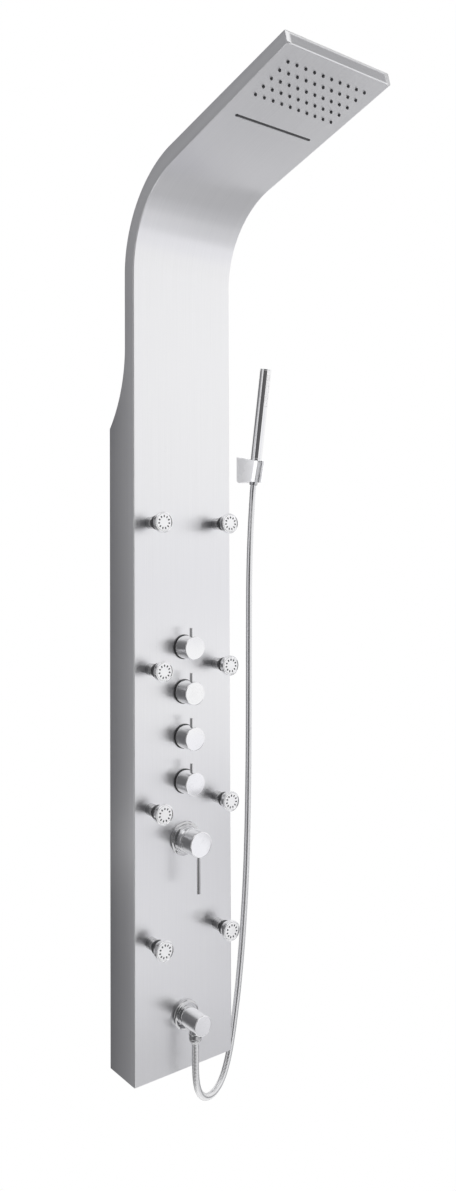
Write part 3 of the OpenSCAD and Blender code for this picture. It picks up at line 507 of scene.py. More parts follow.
class Surface(Sketch):
    """A material that is being written round one Principled shader."""

    def __init__(self, name: str, colour: Colour, metallic: float, roughness: float) -> None:
        """Starts the material.

        Args:
            name: Its name.
            colour: Its base colour.
            metallic: 1 for bare metal.
            roughness: Its roughness.
        """
        self.material = blank_material(name)
        super().__init__(self.material.node_tree)
        self.colour, self.roughness = colour, roughness
        given = {"Base Color": (*colour, 1.0), "Metallic": metallic, "Roughness": roughness}
        self.shader = self.add("ShaderNodeBsdfPrincipled", given)
        self.add("ShaderNodeOutputMaterial", {"Surface": self.shader.outputs[0]})

    def feed(self, source: Socket, name: str) -> None:
        """Links a socket to one of the shader's inputs."""
        self.join(source, self.shader.inputs[name])

    def effect(self, tree: Tree, inputs: dict[str, Any]) -> Any:
        """The outputs of a shared effect with inputs of its own."""
        return self.add("ShaderNodeGroup", inputs, node_tree=tree).outputs

    def vary(self, value: Socket, ends: Point, tones: Point, rough: Point) -> None:
        """Lets a value shift the base colour and the roughness.

        Args:
            value: The value that drives both.
            ends: Its low and high end.
            tones: Factors of the colour at the two ends.
            rough: What the roughness gains at the two ends.
        """
        mixed = self.add("ShaderNodeMix", {0: self.span(value, *ends, 0.0, 1.0)}, data_type="RGBA",
                         clamp_factor=True)
        for socket, factor in zip((6, 7), tones):
            mixed.inputs[socket].default_value = (*[min(c * factor, 1.0) for c in self.colour], 1.0)
        self.feed(mixed.outputs[2], "Base Color")
        self.feed(self.span(value, *ends, *[self.roughness + gain for gain in rough]), "Roughness")

    def bump(self, height: Socket, strength: float, distance: float) -> None:
        """Raises the surface by a height, with the distance in metres."""
        node = self.add("ShaderNodeBump", {"Strength": strength, "Distance": distance, "Height": height})
        self.feed(node.outputs[0], "Normal")


class Effects:
    """Surface effects that several finishes share."""

    def __init__(self) -> None:
        """Builds each group once."""
        self.grain = self._grain()
        self.marks = self._marks()
        self.casting = self._casting()

    @staticmethod
    def _grain() -> Tree:
        """Long brushed lines with slow cloudy change.

        Returns:
            The node group, with the outputs Tone and Height.
        """
        s = Group("ShaderNodeTree", "brushed_grain", {"Vector": "Vector"},
                  {"Tone": "Float", "Height": "Float"})
        place = s.given["Vector"]
        lines = s.add("ShaderNodeMapping", {"Vector": place, "Scale": (2600.0, 9.0, 900.0)})
        wide = s.add("ShaderNodeMapping", {"Vector": place, "Scale": (420.0, 2.5, 160.0)})
        lined = s.maths("ADD", s.noise(lines.outputs[0], 1.0, 3.0, 0.6),
                        s.maths("MULTIPLY", s.noise(wide.outputs[0], 1.0), 0.6))
        cloudy = s.maths("SUBTRACT", s.noise(place, 4.0), 0.5)
        s.join(s.maths("ADD", lined, cloudy), s.out["Tone"])
        s.join(lined, s.out["Height"])
        return s.tree

    @staticmethod
    def _marks() -> Tree:
        """Faint water marks and wiping smears.

        Returns:
            The node group, with the output Mask.
        """
        s = Group("ShaderNodeTree", "water_marks", {"Vector": "Vector"}, {"Mask": "Float"})
        smear = s.span(s.noise(s.given["Vector"], 38.0, 4.0, 0.6), 0.42, 0.72, 0.0, 1.0)
        spots = s.span(s.noise(s.given["Vector"], 260.0), 0.35, 0.75, 0.4, 1.0)
        s.join(s.maths("MULTIPLY", smear, spots), s.out["Mask"])
        return s.tree

    @staticmethod
    def _casting() -> Tree:
        """The small pits and colour drift of moulded or cast pieces.

        Returns:
            The node group, with the outputs Drift and Height.
        """
        s = Group("ShaderNodeTree", "cast_skin", {"Vector": "Vector", "Scale": "Float"},
                  {"Drift": "Float", "Height": "Float"})
        placed = s.add("ShaderNodeVectorMath", {0: s.given["Vector"], "Scale": s.given["Scale"]},
                       operation="SCALE").outputs[0]
        s.join(s.noise(placed, 30.0, 3.0), s.out["Drift"])
        s.join(s.noise(placed, 900.0), s.out["Height"])
        return s.tree


@dataclass(frozen=True)
class BrushedSteel:
    """Brushed stainless sheet, whose grain follows the piece's own map."""

    name: str = "brushed_steel_sheet"
    colour: Colour = (0.90, 0.90, 0.915)
    roughness: float = 0.30
    anisotropy: float = 0.65
    painted_shade_zone: Point = (0.110, 0.185)
    painted_shade_colour: Colour = (0.62, 0.62, 0.63)

    def build(self, effects: Effects) -> Material:
        """Makes the material, with painted shade that darkens the flanges from the fold to the back edge.

        Args:
            effects: The shared effects.

        Returns:
            The material.
        """
        s = Surface(self.name, self.colour, 1.0, self.roughness)
        uv = s.add("ShaderNodeUVMap", uv_map=SheetMap.GRAIN.value).outputs[0]
        grain = s.effect(effects.grain, {"Vector": uv})
        s.vary(grain["Tone"], (0.35, 1.25), (0.95, 1.04), (-0.03, 0.05))
        # Painted shade: the base colour darkens across the flanges towards the back edge, standing for the
        # dark surroundings mirrored there.
        across = s.maths("ABSOLUTE", s.add("ShaderNodeSeparateXYZ", {0: uv}).outputs[0])
        toned = s.shader.inputs["Base Color"].links[0].from_socket
        edge = s.add("ShaderNodeMix", {0: s.span(across, *self.painted_shade_zone, 0.0, 1.0), 6: toned,
                                       7: (*self.painted_shade_colour, 1.0)},
                     data_type="RGBA", blend_type="MULTIPLY", clamp_factor=True)
        s.feed(edge.outputs[2], "Base Color")
        s.bump(grain["Height"], 0.12, 0.00006)
        s.shader.inputs["Anisotropic"].default_value = self.anisotropy
        tangent = s.add("ShaderNodeTangent", direction_type="UV_MAP", uv_map=SheetMap.GRAIN.value)
        s.feed(tangent.outputs[0], "Tangent")
        return s.material


@dataclass(frozen=True)
class Chrome:
    """Polished chrome plating with faint water marks."""

    name: str
    colour: Colour = (0.90, 0.90, 0.91)
    roughness: float = 0.05
    marks: float = 0.09

    def build(self, effects: Effects) -> Material:
        """Makes the material.

        Args:
            effects: The shared effects.

        Returns:
            The material.
        """
        s = Surface(self.name, self.colour, 1.0, self.roughness)
        mask = s.effect(effects.marks, {"Vector": s.place()})["Mask"]
        s.vary(mask, (0.0, 1.0), (1.0, 0.94), (0.0, self.marks))
        s.bump(mask, 0.05, 0.00003)
        return s.material


@dataclass(frozen=True)
class Moulded:
    """Plastic, rubber, cast or plated metal with a fine skin."""

    name: str
    colour: Colour
    roughness: float
    metallic: float = 0.0
    drift: float = 0.06
    bump: float = 0.12
    coat: float = 0.0
    scale: float = 1.0

    def build(self, effects: Effects) -> Material:
        """Makes the material.

        Args:
            effects: The shared effects.

        Returns:
            The material.
        """
        s = Surface(self.name, self.colour, self.metallic, self.roughness)
        skin = s.effect(effects.casting, {"Vector": s.place(), "Scale": self.scale})
        s.vary(skin["Drift"], (0.3, 0.7), (1 - self.drift, 1 + self.drift), (-0.04, 0.05))
        s.bump(skin["Height"], self.bump, 0.0001)
        s.shader.inputs["Coat Weight"].default_value = self.coat
        return s.material


class Finishes:
    """Every finish of the panel, made once."""

    def __init__(self) -> None:
        """Builds all materials."""
        effects = Effects()
        self.steel = BrushedSteel().build(effects)
        self.cover = BrushedSteel("brushed_steel_back", (0.70, 0.70, 0.71), 0.38, 0.4).build(effects)
        self.chrome = Chrome("chrome_trim").build(effects)
        # Painted shade: a darker copy of the chrome for the mixer's escutcheon and the elbow's rose.
        self.plate_chrome_painted_shade = Chrome("chrome_plate", (0.62, 0.62, 0.63), 0.08, 0.06).build(effects)
        # Painted shade: a darker copy of the chrome for the jet tubes, the knob pins and the mixer's lever.
        self.painted_shade_chrome = Chrome("chrome_shaded", (0.56, 0.56, 0.57), 0.10, 0.06).build(effects)
        # The nuts are satin metal, and their colour is darkened further as painted shade.
        self.nut_metal_painted_shade = Chrome("satin_nut", (0.56, 0.56, 0.57), 0.18, 0.08).build(effects)
        self.hose_metal = Chrome("hose_metal", (0.79, 0.79, 0.80), 0.12, 0.06).build(effects)
        self.rubber = Moulded("nozzle_rubber", (0.022, 0.022, 0.025), 0.55, bump=0.3).build(effects)
        # Painted shade: the dark finish of the lips inside the waterfall slot.
        self.slot_shade_liner = Moulded("slot_lip_rubber", (0.085, 0.085, 0.09), 0.5, bump=0.2).build(effects)
        self.jet_face = Moulded("jet_face_satin", (0.60, 0.60, 0.61), 0.34, bump=0.1).build(effects)
        self.soft_strip = Moulded("pale_strip", (0.62, 0.62, 0.63), 0.42, bump=0.2).build(effects)
        self.black = Moulded("black_ring", (0.03, 0.03, 0.032), 0.35, bump=0.1).build(effects)
        self.white = Moulded("white_plastic", (0.80, 0.80, 0.79), 0.42, bump=0.15).build(effects)
        self.holder = Moulded("holder_satin", (0.86, 0.86, 0.88), 0.30, drift=0.03, coat=0.3).build(effects)
        self.pipe = Moulded("feed_pipe", (0.62, 0.64, 0.66), 0.38, drift=0.04).build(effects)
        self.brass = Moulded("raw_brass", (0.72, 0.55, 0.29), 0.32, metallic=1.0, drift=0.10,
                             bump=0.25).build(effects)
        self.zinc = Moulded("zinc_plate", (0.52, 0.53, 0.55), 0.42, metallic=1.0, drift=0.12,
                            bump=0.2, scale=2.0).build(effects)


# Studio


@dataclass(frozen=True)
class Studio:
    """Camera at the photograph's place, soft light, pale floor and grey cards for the metal."""

    eye: Place = (-927.8, -1425.5, 882.1)
    yaw: float = 37.1876
    pitch: float = 1.0664
    roll: float = -0.2017
    focal_px: float = 950.318
    centre_px: Point = (227.308, 532.214)
    picture_px: Point = (456.0, 1191.0)
    sensor: float = 36.0
    clip: Point = (0.05, 60.0)
    soft_light: float = 0.80
    floor_z: float = -1.60
    floor_reach: float = 14.0
    floor_grey: float = 0.82
    shadow_zone: Point = (0.15, 0.42)

    def build(self) -> None:
        """Makes the camera, the world, the lamps, the floor and the cards."""
        self._camera()
        self._world()
        self._lamps()
        self._floor()
        self._cards()
        bpy.context.scene.view_settings.view_transform = "Standard"

    def _camera(self) -> None:
        """Places the camera that was fitted to the photograph."""
        data = bpy.data.cameras.new("camera")
        wide, high = self.picture_px
        data.lens = self.sensor * self.focal_px / high
        data.shift_x = (wide / 2 - self.centre_px[0]) / high
        data.shift_y = (self.centre_px[1] - high / 2) / high
        data.clip_start, data.clip_end = self.clip
        yaw, pitch, roll = (math.radians(a) for a in (self.yaw, self.pitch, self.roll))
        ahead = Vector((math.sin(yaw) * math.cos(pitch), math.cos(yaw) * math.cos(pitch), math.sin(pitch)))
        level = Vector((math.cos(yaw), -math.sin(yaw), 0.0))
        upright = level.cross(ahead)
        right = level * math.cos(roll) + upright * math.sin(roll)
        up = upright * math.cos(roll) - level * math.sin(roll)
        camera = link_to_scene("camera", data)
        turn = Matrix((right, up, -ahead)).transposed().to_4x4()
        camera.matrix_world = Matrix.Translation(on_panel(*self.eye)) @ turn
        bpy.context.scene.camera = camera

    def _world(self) -> None:
        """White for the camera and for metal, and a plain soft light for the rest."""
        world = bpy.data.worlds.new("studio")
        bpy.context.scene.world = world
        world.use_nodes = True
        s = Sketch(world.node_tree)
        strength = s.span(s.seen(), 0.0, 1.0, self.soft_light, 1.0)
        back = s.add("ShaderNodeBackground", {"Color": (1.0, 1.0, 1.0, 1.0), "Strength": strength})
        s.add("ShaderNodeOutputWorld", {"Surface": back.outputs[0]})

    @staticmethod
    def _lamp(name: str, at: Place, aim: Place, size: Point, watts: float) -> None:
        """Adds one soft lamp that the camera and the metal don't see.

        Args:
            name: Name of the lamp.
            at: Its place in metres.
            aim: The point that it looks at.
            size: Its width and height in metres.
            watts: Its power.
        """
        data = bpy.data.lights.new(name, "AREA")
        data.shape = "RECTANGLE"
        data.size, data.size_y = size
        data.energy = watts
        lamp = link_to_scene(name, data)
        way = Vector(aim) - Vector(at)
        lamp.matrix_world = Matrix.Translation(at) @ way.to_track_quat("-Z", "Y").to_matrix().to_4x4()
        lamp.visible_camera = lamp.visible_glossy = False

    def _lamps(self) -> None:
        """A large key on the right, a fill on the left and a soft top."""
        self._lamp("key", (1.9, -2.6, 1.1), (0.0, -0.1, -0.1), (1.6, 2.2), 55.0)
        self._lamp("fill", (-2.6, -1.6, 0.6), (0.0, -0.1, -0.3), (1.4, 2.0), 38.0)
        self._lamp("top", (0.2, -0.6, 2.6), (0.0, -0.2, 0.0), (2.2, 2.2), 26.0)

    def _floor(self) -> None:
        """A pale floor that keeps a soft shadow near the panel and is white farther off."""
        bm = bmesh.new()
        bmesh.ops.create_grid(bm, x_segments=2, y_segments=2, size=self.floor_reach)
        floor = link_to_scene("floor", settle("floor", bm))
        floor.location = (0.0, 0.0, self.floor_z)
        material = blank_material("pale_floor")
        s = Sketch(material.node_tree)
        away = s.add("ShaderNodeVectorMath", {0: s.place()}, operation="LENGTH").outputs["Value"]
        plain = s.add("ShaderNodeBsdfDiffuse", {"Color": (*[self.floor_grey] * 3, 1.0)})
        white = s.add("ShaderNodeEmission", {"Color": (1.0, 1.0, 1.0, 1.0), "Strength": 1.0})
        s.mix_out(s.maths("MULTIPLY", s.seen(), s.fade(away, *self.shadow_zone)), plain, white)
        floor.data.materials.append(material)

    def _cards(self) -> None:
        """Puts up the cards that only the metal sees."""
        for card in (
                Card("card_left_back", 0.29, (-2.6, 2.2, 0.9), (4.6, 7.4), 50.0, edge=0.12),
                Card("card_left_near", 0.12, (-0.42, 1.05, -0.35), (1.2, 2.6), 90.0, edge=0.10),
                Card("card_left_low", 0.16, (-0.95, -0.45, -1.52), (1.3, 1.7), 0.0, True, 0.2),
                Card("card_left_floor", 0.26, (-1.35, 1.30, -1.55), (2.7, 2.4), 0.0, True, 0.12),
                Card("card_left_front", 0.11, (-2.2, -2.1, 0.0), (3.6, 5.0), -50.0, edge=0.12),
                Card("card_front", 0.10, (-0.6, -3.4, 0.0), (1.5, 5.0), -10.0),
                Card("card_front_floor", 0.15, (-1.3, -1.9, -1.50), (3.6, 2.4), -45.0, True, 0.14),
                Card("card_low_right", 0.37, (1.60, -0.28, -1.50), (2.0, 2.46), 0.0, True, 0.10),
                Card("card_low_back", 0.50, (1.70, 1.40, -1.52), (1.9, 2.0), 0.0, True, 0.12),
                Card("card_far_right", 0.42, (2.35, -2.1, -1.51), (2.2, 1.5), -67.6, True, 0.15),
                Card("card_floor_right", 0.95, (2.2, -3.2, -1.55), (3.4, 4.4), 0.0, True, 0.2),
                Card("card_mid_right", 0.90, (1.28, -1.87, -0.25), (1.7, 0.66), 35.5, edge=0.3),
                Card("card_foot", 0.80, (0.80, -1.15, -1.49), (1.1, 1.2), 0.0, True, 0.4),
                Card("card_foot_left", 0.49, (0.30, -0.88, -1.48), (0.9, 0.9), 0.0, True, 0.4),
                Card("card_high_right", 0.30, (1.6, -1.8, 2.40), (2.4, 2.4), 0.0, True, 0.2)):
            card.build()


@dataclass(frozen=True)
class Card:
    """A plain card with soft edges, which shows only in metal."""

    name: str
    grey: float
    at: Place
    size: Point
    turn: float
    flat: bool = False
    edge: float = 0.18

    def build(self) -> None:
        """Makes the card, upright or flat, and hides it from all but the mirrored rays."""
        bm = bmesh.new()
        layer = bm.loops.layers.uv.new("card_map")
        bmesh.ops.create_grid(bm, x_segments=1, y_segments=1, size=0.5)
        for face in bm.faces:
            for loop in face.loops:
                loop[layer].uv = (loop.vert.co.x + 0.5, loop.vert.co.y + 0.5)
        mesh = settle(self.name, bm)
        stand = Matrix.Rotation(math.radians(self.turn), 4, "Z")
        if not self.flat:
            stand = stand @ Matrix.Rotation(math.radians(90), 4, "X")
        mesh.transform(Matrix.Translation(self.at) @ stand @ Matrix.Diagonal((*self.size, 1.0, 1.0)))
        mesh.materials.append(self._material())
        card = link_to_scene(self.name, mesh)
        card.visible_camera = card.visible_diffuse = card.visible_shadow = False

    def _material(self) -> Material:
        """A glow of the card's grey that fades out towards its edges.

        Returns:
            The material.
        """
        material = blank_material(self.name)
        s = Sketch(material.node_tree)
        spot = s.add("ShaderNodeSeparateXYZ", {0: s.add("ShaderNodeUVMap", uv_map="card_map").outputs[0]})
        near = [s.maths("MINIMUM", side, s.maths("SUBTRACT", 1.0, side)) for side in spot.outputs[:2]]
        colour = (self.grey, self.grey, self.grey * 1.03, 1.0)
        glow = s.add("ShaderNodeEmission", {"Color": colour, "Strength": 1.0})
        s.mix_out(s.fade(s.maths("MINIMUM", *near), 0.0, self.edge), s.add("ShaderNodeBsdfTransparent"), glow)
        return material


# Hose


@dataclass(frozen=True)
class ShowerHose:
    """The ribbed metal hose from the elbow's nut, round below the panel and up to the handset."""

    radius: float = 6.0
    rib_pitch: float = 2.3
    rib_depth: float = 0.35
    rib_rings: int = 4
    sides: int = 16
    steps: int = 12

    @staticmethod
    def points() -> list[Vector]:
        """The route's points on the panel, in millimetres.

        Returns:
            The points, from the lower nut to the upper nut.
        """
        lower = [(0, -109, 56), (0, -109, 27), (0, -109, -2), (7, -106, -30), (25, -98.5, -50),
                 (50, -88.5, -57.5), (75.5, -78, -50.5), (92.5, -71, -31), (104.5, -66, -7),
                 (113.5, -62.5, 19), (121.5, -59, 47), (130, -56, 80), (138.5, -52, 118), (146, -49, 160),
                 (153, -46, 208), (160, -43.5, 268), (165.5, -41, 334), (169.5, -39, 405)]
        upper = [(172, -38, 478), (173.5, -37.5, 552), (174, -37.5, 626), (174.5, -37.5, 700),
                 (175, -37.5, 770), (176.5, -36.5, 832), (180, -34.5, 882), (184, -32, 920),
                 (188, -29.5, 948), (191, -28, 970), (192, -28.6, 990.5), (192, -30.836, 1003.629)]
        return [Vector(p) for p in lower + upper]

    def route(self) -> list[Vector]:
        """The smooth middle line in the row frame, in metres.

        Returns:
            The line's points, from the lower nut to the upper nut.
        """
        p = self.points()
        last = len(p) - 1
        made: list[Vector] = []
        for i in range(last):
            a = 2 * p[0] - p[1] if i == 0 else p[i - 1]
            d = 2 * p[last] - p[last - 1] if i + 1 == last else p[i + 2]
            for k in range(self.steps):
                t = k / self.steps
                u = 1 - t
                made.append((a * u ** 3 + p[i] * (3 * t ** 3 - 6 * t ** 2 + 4)
                             + p[i + 1] * (3 * u ** 3 - 6 * u ** 2 + 4) + d * t ** 3) / 6)
        made.append(p[last])
        return [on_panel(*v) for v in made]

    def build(self, finishes: Finishes, parts: Sequence[Piece]) -> Piece:
        """Args:
            finishes: The panel's finishes.
            parts: The nuts at its two ends, which are not used.

        Returns:
            The hose.
        """
        route = self.route()
        data = bpy.data.curves.new("hose_line", "CURVE")
        data.dimensions = "3D"
        spline = data.splines.new("POLY")
        spline.points.add(len(route) - 1)
        spline.points.foreach_set("co", [c for v in route for c in (*v, 1.0)])
        pitch = self.rib_pitch * MM
        sizes = {"Radius": self.radius * MM, "Depth": self.rib_depth * MM, "Pitch": pitch,
                 "Step": pitch / self.rib_rings}
        mesh = self._tree(finishes.hose_metal).grow("hose_line", data, sizes)
        hose = add_mesh("shower_hose_ribbed", mesh, finishes.hose_metal, 60.0)
        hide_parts("shower_hose")
        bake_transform(hose)
        return hose

    def _tree(self, material: Material) -> ShapeTree:
        """Builds the tree that puts ribs along the line.

        Args:
            material: Finish of the hose.

        Returns:
            The tree.
        """
        s = ShapeTree("hose_ribs", dict.fromkeys(("Radius", "Depth", "Pitch", "Step"), "Float"))
        fine = s.add("GeometryNodeResampleCurve", {"Curve": s.given["Geometry"], "Length": s.given["Step"]},
                     mode="LENGTH")
        along = s.add("GeometryNodeSplineParameter").outputs["Length"]
        turn = s.maths("MULTIPLY", s.maths("DIVIDE", along, s.given["Pitch"]), math.tau)
        wave = s.maths("MULTIPLY", s.maths("ADD", s.maths("SINE", turn), 1.0), 0.5)
        low = s.maths("SUBTRACT", s.given["Radius"], s.given["Depth"])
        height = s.maths("ADD", low, s.maths("MULTIPLY", wave, s.given["Depth"]))
        sized = s.add("GeometryNodeSetCurveRadius", {"Curve": fine.outputs[0], "Radius": height})
        ring = s.add("GeometryNodeCurvePrimitiveCircle", {"Resolution": self.sides, "Radius": 1.0})
        tube = s.add("GeometryNodeCurveToMesh", {"Curve": sized.outputs[0], "Profile Curve": ring.outputs[0],
                                                 "Fill Caps": True})
        if "Scale" in tube.inputs:
            s.join(height, tube.inputs["Scale"])
        s.end(tube.outputs[0], material)
        return s


# Folded sheets


@dataclass(frozen=True)
class FoldedSheet:
    """The column's folded sheet with its arm, and the cover over the neck and the arm."""

    width: float = 200.0
    depth: float = 78.0
    gauge: float = 1.2
    fold: float = 1.6
    fold_run: float = 0.4
    neck_d: float = 27.5
    neck_z: float = 1225.0
    step_r: float = 203.0
    bend_z: float = 1347.0
    bend_r: float = 150.0
    arm_rise: float = 14.0
    arm_l: float = 288.0
    tip_d: float = 20.0
    tip_gap: float = 0.35
    tip_map: float = 2.0
    lip_w: float = 12.0
    lip_z: Point = (0.6, 1079.0)
    foot_fold: float = 30.0
    foot_gap: float = 1.4
    seam: float = 0.2
    edge: float = 0.3
    cover_z: float = 1091.5
    cover_gap: float = 0.1
    cover_in: float = 0.05
    column_rows: int = 22
    step_rows: int = 24
    neck_rows: int = 4
    bend_rows: int = 48
    arm_rows: int = 12

    def bend_angle(self) -> float:
        """Angle that the bend turns through, in radians."""
        return math.radians(90.0 - self.arm_rise)

    def bend_end(self) -> Point:
        """Where the bend ends on the front face, as y and z."""
        a, r = self.bend_angle(), self.bend_r
        return -self.depth - r + r * math.cos(a), self.bend_z + r * math.sin(a)

    def tip(self) -> Point:
        """The arm's lower tip, as y and z."""
        rise = math.radians(self.arm_rise)
        y, z = self.bend_end()
        return y - self.arm_l * math.cos(rise), z + self.arm_l * math.sin(rise)

    def stations(self) -> list[tuple[Vector, Vector, float, float]]:
        """Places along the front face: point, inward direction, flange depth and length so far.

        Returns:
            The places, from the bottom edge to the arm's tip.
        """
        rows: list[tuple[Vector, Vector, float]] = []
        shift = self.neck_d - self.depth
        step_z = self.neck_z - math.sqrt(self.step_r ** 2 - (shift + self.step_r) ** 2)
        heights = spread(0.0, step_z, self.column_rows)[:-1]
        heights += spread(step_z, self.neck_z, self.step_rows)
        heights += spread(self.neck_z, self.bend_z, self.neck_rows)[1:]
        for z in heights:
            back = 0.0
            if z > self.neck_z - 1e-6:
                back = shift
            elif z > step_z:
                back = shift + self.step_r - math.sqrt(self.step_r ** 2 - (self.neck_z - z) ** 2)
            rows.append((Vector((0, -self.depth, z)), Vector((0, 1, 0)), back + self.depth))
        centre = Vector((0, -self.depth - self.bend_r, self.bend_z))
        for a in spread(0.0, self.bend_angle(), self.bend_rows)[1:]:
            out = Vector((0, math.cos(a), math.sin(a)))
            rows.append((centre + out * self.bend_r, out, self.neck_d))
        start, out = rows[-1][:2]
        end = start.lerp(Vector((0, *self.tip())), 1 - self.fold / self.arm_l)
        for t in spread(0.0, 1.0, self.arm_rows)[1:]:
            rows.append((start.lerp(end, t), out, self.neck_d + (self.tip_d - self.neck_d) * t))
        made, length = [], 0.0
        for i, (place, inward, deep) in enumerate(rows):
            if i:
                length += (place - rows[i - 1][0]).length
            made.append((place, inward, deep, length))
        return made

    def outline(self, deep: float) -> list[Place]:
        """Half of the cross-section from a flange's back edge to the middle.

        Args:
            deep: Flange depth at this station.

        Returns:
            Distance from the middle, depth and length along the outline of each point.
        """
        half, r = self.width / 2, self.fold
        points = [(half, deep + (r - deep) * k / 5) for k in range(6)]
        points += [(half - r + r * math.cos(a), r - r * math.sin(a))
                   for a in (math.radians(90) * k / 5 for k in range(1, 6))]
        points += [((half - r - self.fold_run) * (1 - k / 8), 0.0) for k in range(9)]
        made, length = [], 0.0
        for i, (x, d) in enumerate(points):
            if i:
                length += math.hypot(x - points[i - 1][0], d - points[i - 1][1])
            made.append((x, d, length))
        total = made[-1][2]
        return [(x, d, total - s) for x, d, s in made]

    def build(self, finishes: Finishes) -> None:
        """Makes the sheet, its lips, its fold at the tip and the cover.

        Args:
            finishes: The panel's finishes.
        """
        rows, maps = [], []
        for place, inward, deep, along in self.stations():
            half = self.outline(deep)
            line = [(-x, d, -s) for x, d, s in half] + [(x, d, s) for x, d, s in reversed(half[:-1])]
            rows.append([place + inward * d + Vector((x, 0, 0)) for x, d, _ in line])
            maps.append([(s * MM, along * MM) for _, _, s in line])
        sheet = strip("column_sheet", rows, maps, finishes.steel)
        self._cut_openings(sheet)
        lips, tip, cover = self._lips(finishes), self._tip_fold(finishes), self._cover(finishes)
        for piece, node in ((sheet, "column_shell"), (lips, ""), (tip, ""), (cover, "arm_cover")):
            declare(piece, Body.PANEL.value, node)
        log.info("folded sheet %d faces", len(sheet.data.polygons))

    def _cut_openings(self, sheet: Piece) -> None:
        """Cuts the nozzle holes and the waterfall slot.

        Args:
            sheet: The folded sheet.
        """
        bm = bmesh.new()
        for x, u in RAIN.places():
            ring_cutter(bm, x, u, RAIN.nozzle_r + RAIN.hole_gap, RAIN.sides)
        half, r = (RAIN.slot_l - RAIN.slot_w) / 2, RAIN.slot_w / 2
        ends = [(side, math.radians(22.5 * k - 90 * side)) for side in (-1, 1) for k in range(9)]
        prism_cutter(bm, [(side * half + r * math.cos(a), RAIN.slot_u + r * math.sin(a)) for side, a in ends])
        bmesh.ops.recalc_face_normals(bm, faces=bm.faces)
        mesh = settle("cutter", bm)
        mesh.transform(arm_frame())
        cutter = link_to_scene("cutter", mesh)
        cut = sheet.modifiers.new("openings", "BOOLEAN")
        cut.operation, cut.solver, cut.object = "DIFFERENCE", "EXACT", cutter
        bake_modifiers(sheet)
        bpy.data.objects.remove(cutter)
        shade(sheet.data, 30.0)

    def _tip_fold(self, finishes: Finishes) -> Piece:
        """Turns the sheet up at the arm's tip, with mitred corners beside the flanges.

        Args:
            finishes: The panel's finishes.

        Returns:
            The object.
        """
        rows, maps = [], []
        r, half, gap = self.fold, self.width / 2, self.tip_gap
        outline = [(r + self.fold_run, 0.0, half - r)]
        outline += [(r - r * math.sin(a), r - r * math.cos(a), half - r + (r - gap) * math.sin(a))
                    for a in (math.radians(90) * k / 6 for k in range(7))]
        outline += [(0.0, r + self.fold_run, half - gap)]
        outline += [(0.0, r + (self.tip_d - r) * k / 4, half - gap) for k in range(1, 5)]
        place = arm_frame()
        for u, d, wide in outline:
            xs = [wide * (k / 10 - 1) for k in range(21)]
            rows.append([(place @ Vector((x, u, d)) / MM) + Vector((0, 0, SCREW_LINE)) for x in xs])
            maps.append([(x * MM, (d - u) * MM + self.tip_map) for x in xs])
        return strip("tip_fold", rows, maps, finishes.steel)

    def _lips(self, finishes: Finishes) -> Piece:
        """The bottom fold and the back lips.

        Args:
            finishes: The panel's finishes.

        Returns:
            The object.
        """
        bm = bmesh.new()
        half, front, reach = self.width / 2, -self.depth, self.width / 2 - self.foot_gap
        slab(bm, (-reach, reach), (front + self.seam, front + self.foot_fold), (0.0, self.gauge), self.edge)
        for side in (-1, 1):
            low, high = sorted((side * (half - self.lip_w), side * (half - self.seam)))
            slab(bm, (low, high), (-self.gauge, 0.0), self.lip_z, self.edge)
        place = Matrix.Translation((0, 0, -SCREW_LINE * MM)) @ Matrix.Scale(MM, 4)
        lips = add_object("column_lips", bm, place, finishes.steel)
        flat_map(lips)
        return lips

    def _cover(self, finishes: Finishes) -> Piece:
        """The sheet that closes the neck and the arm from behind.

        Args:
            finishes: The panel's finishes.

        Returns:
            The object.
        """
        half = self.width / 2 - self.gauge - self.cover_gap
        xs = [half * (k / 6 - 1) for k in range(13)]
        rows, maps = [], []
        for place, inward, deep, along in self.stations():
            if place.z < self.cover_z and place.y > -self.depth - 1:
                continue
            spot = place + inward * (deep - self.cover_in)
            rows.append([spot + Vector((x, 0, 0)) for x in xs])
            maps.append([(x * MM, along * MM) for x in xs])
        return strip("arm_cover_sheet", rows, maps, finishes.cover, flip=True)


def spread(low: float, high: float, steps: int) -> list[float]:
    """Values from low to high in equal steps, with both ends."""
    return [low + (high - low) * k / steps for k in range(steps + 1)]


def strip(name: str, rows: Sequence[Sequence[Vector]], maps: Sequence[Sequence[Point]],
          material: Material, flip: bool = False) -> Piece:
    """Makes a piece of the panel's sheet from rows of points on its outer face.

    Args:
        name: Name of the piece.
        rows: Points on the panel, in millimetres, row by row.
        maps: The grain map's place of each point, in metres.
        material: Its finish.
        flip: True if the faces have to be turned to point outwards.

    Returns:
        The piece, with its thickness applied.
    """
    bm = bmesh.new()
    grain = bm.loops.layers.uv.new(SheetMap.GRAIN.value)
    grid = [[bm.verts.new(on_panel(*p)) for p in row] for row in rows]
    for i in range(len(grid) - 1):
        for k in range(len(grid[i]) - 1):
            spots = [(i, k), (i, k + 1), (i + 1, k + 1), (i + 1, k)]
            if flip:
                spots.reverse()
            face = bm.faces.new([grid[a][b] for a, b in spots])
            for loop, (a, b) in zip(face.loops, spots):
                loop[grain].uv = maps[a][b]
    piece = add_mesh(name, settle(name, bm), material, 40.0)
    thick = piece.modifiers.new("gauge", "SOLIDIFY")
    thick.thickness, thick.offset, thick.use_even_offset = SHEET.gauge * MM, -1.0, True
    return bake_modifiers(piece)


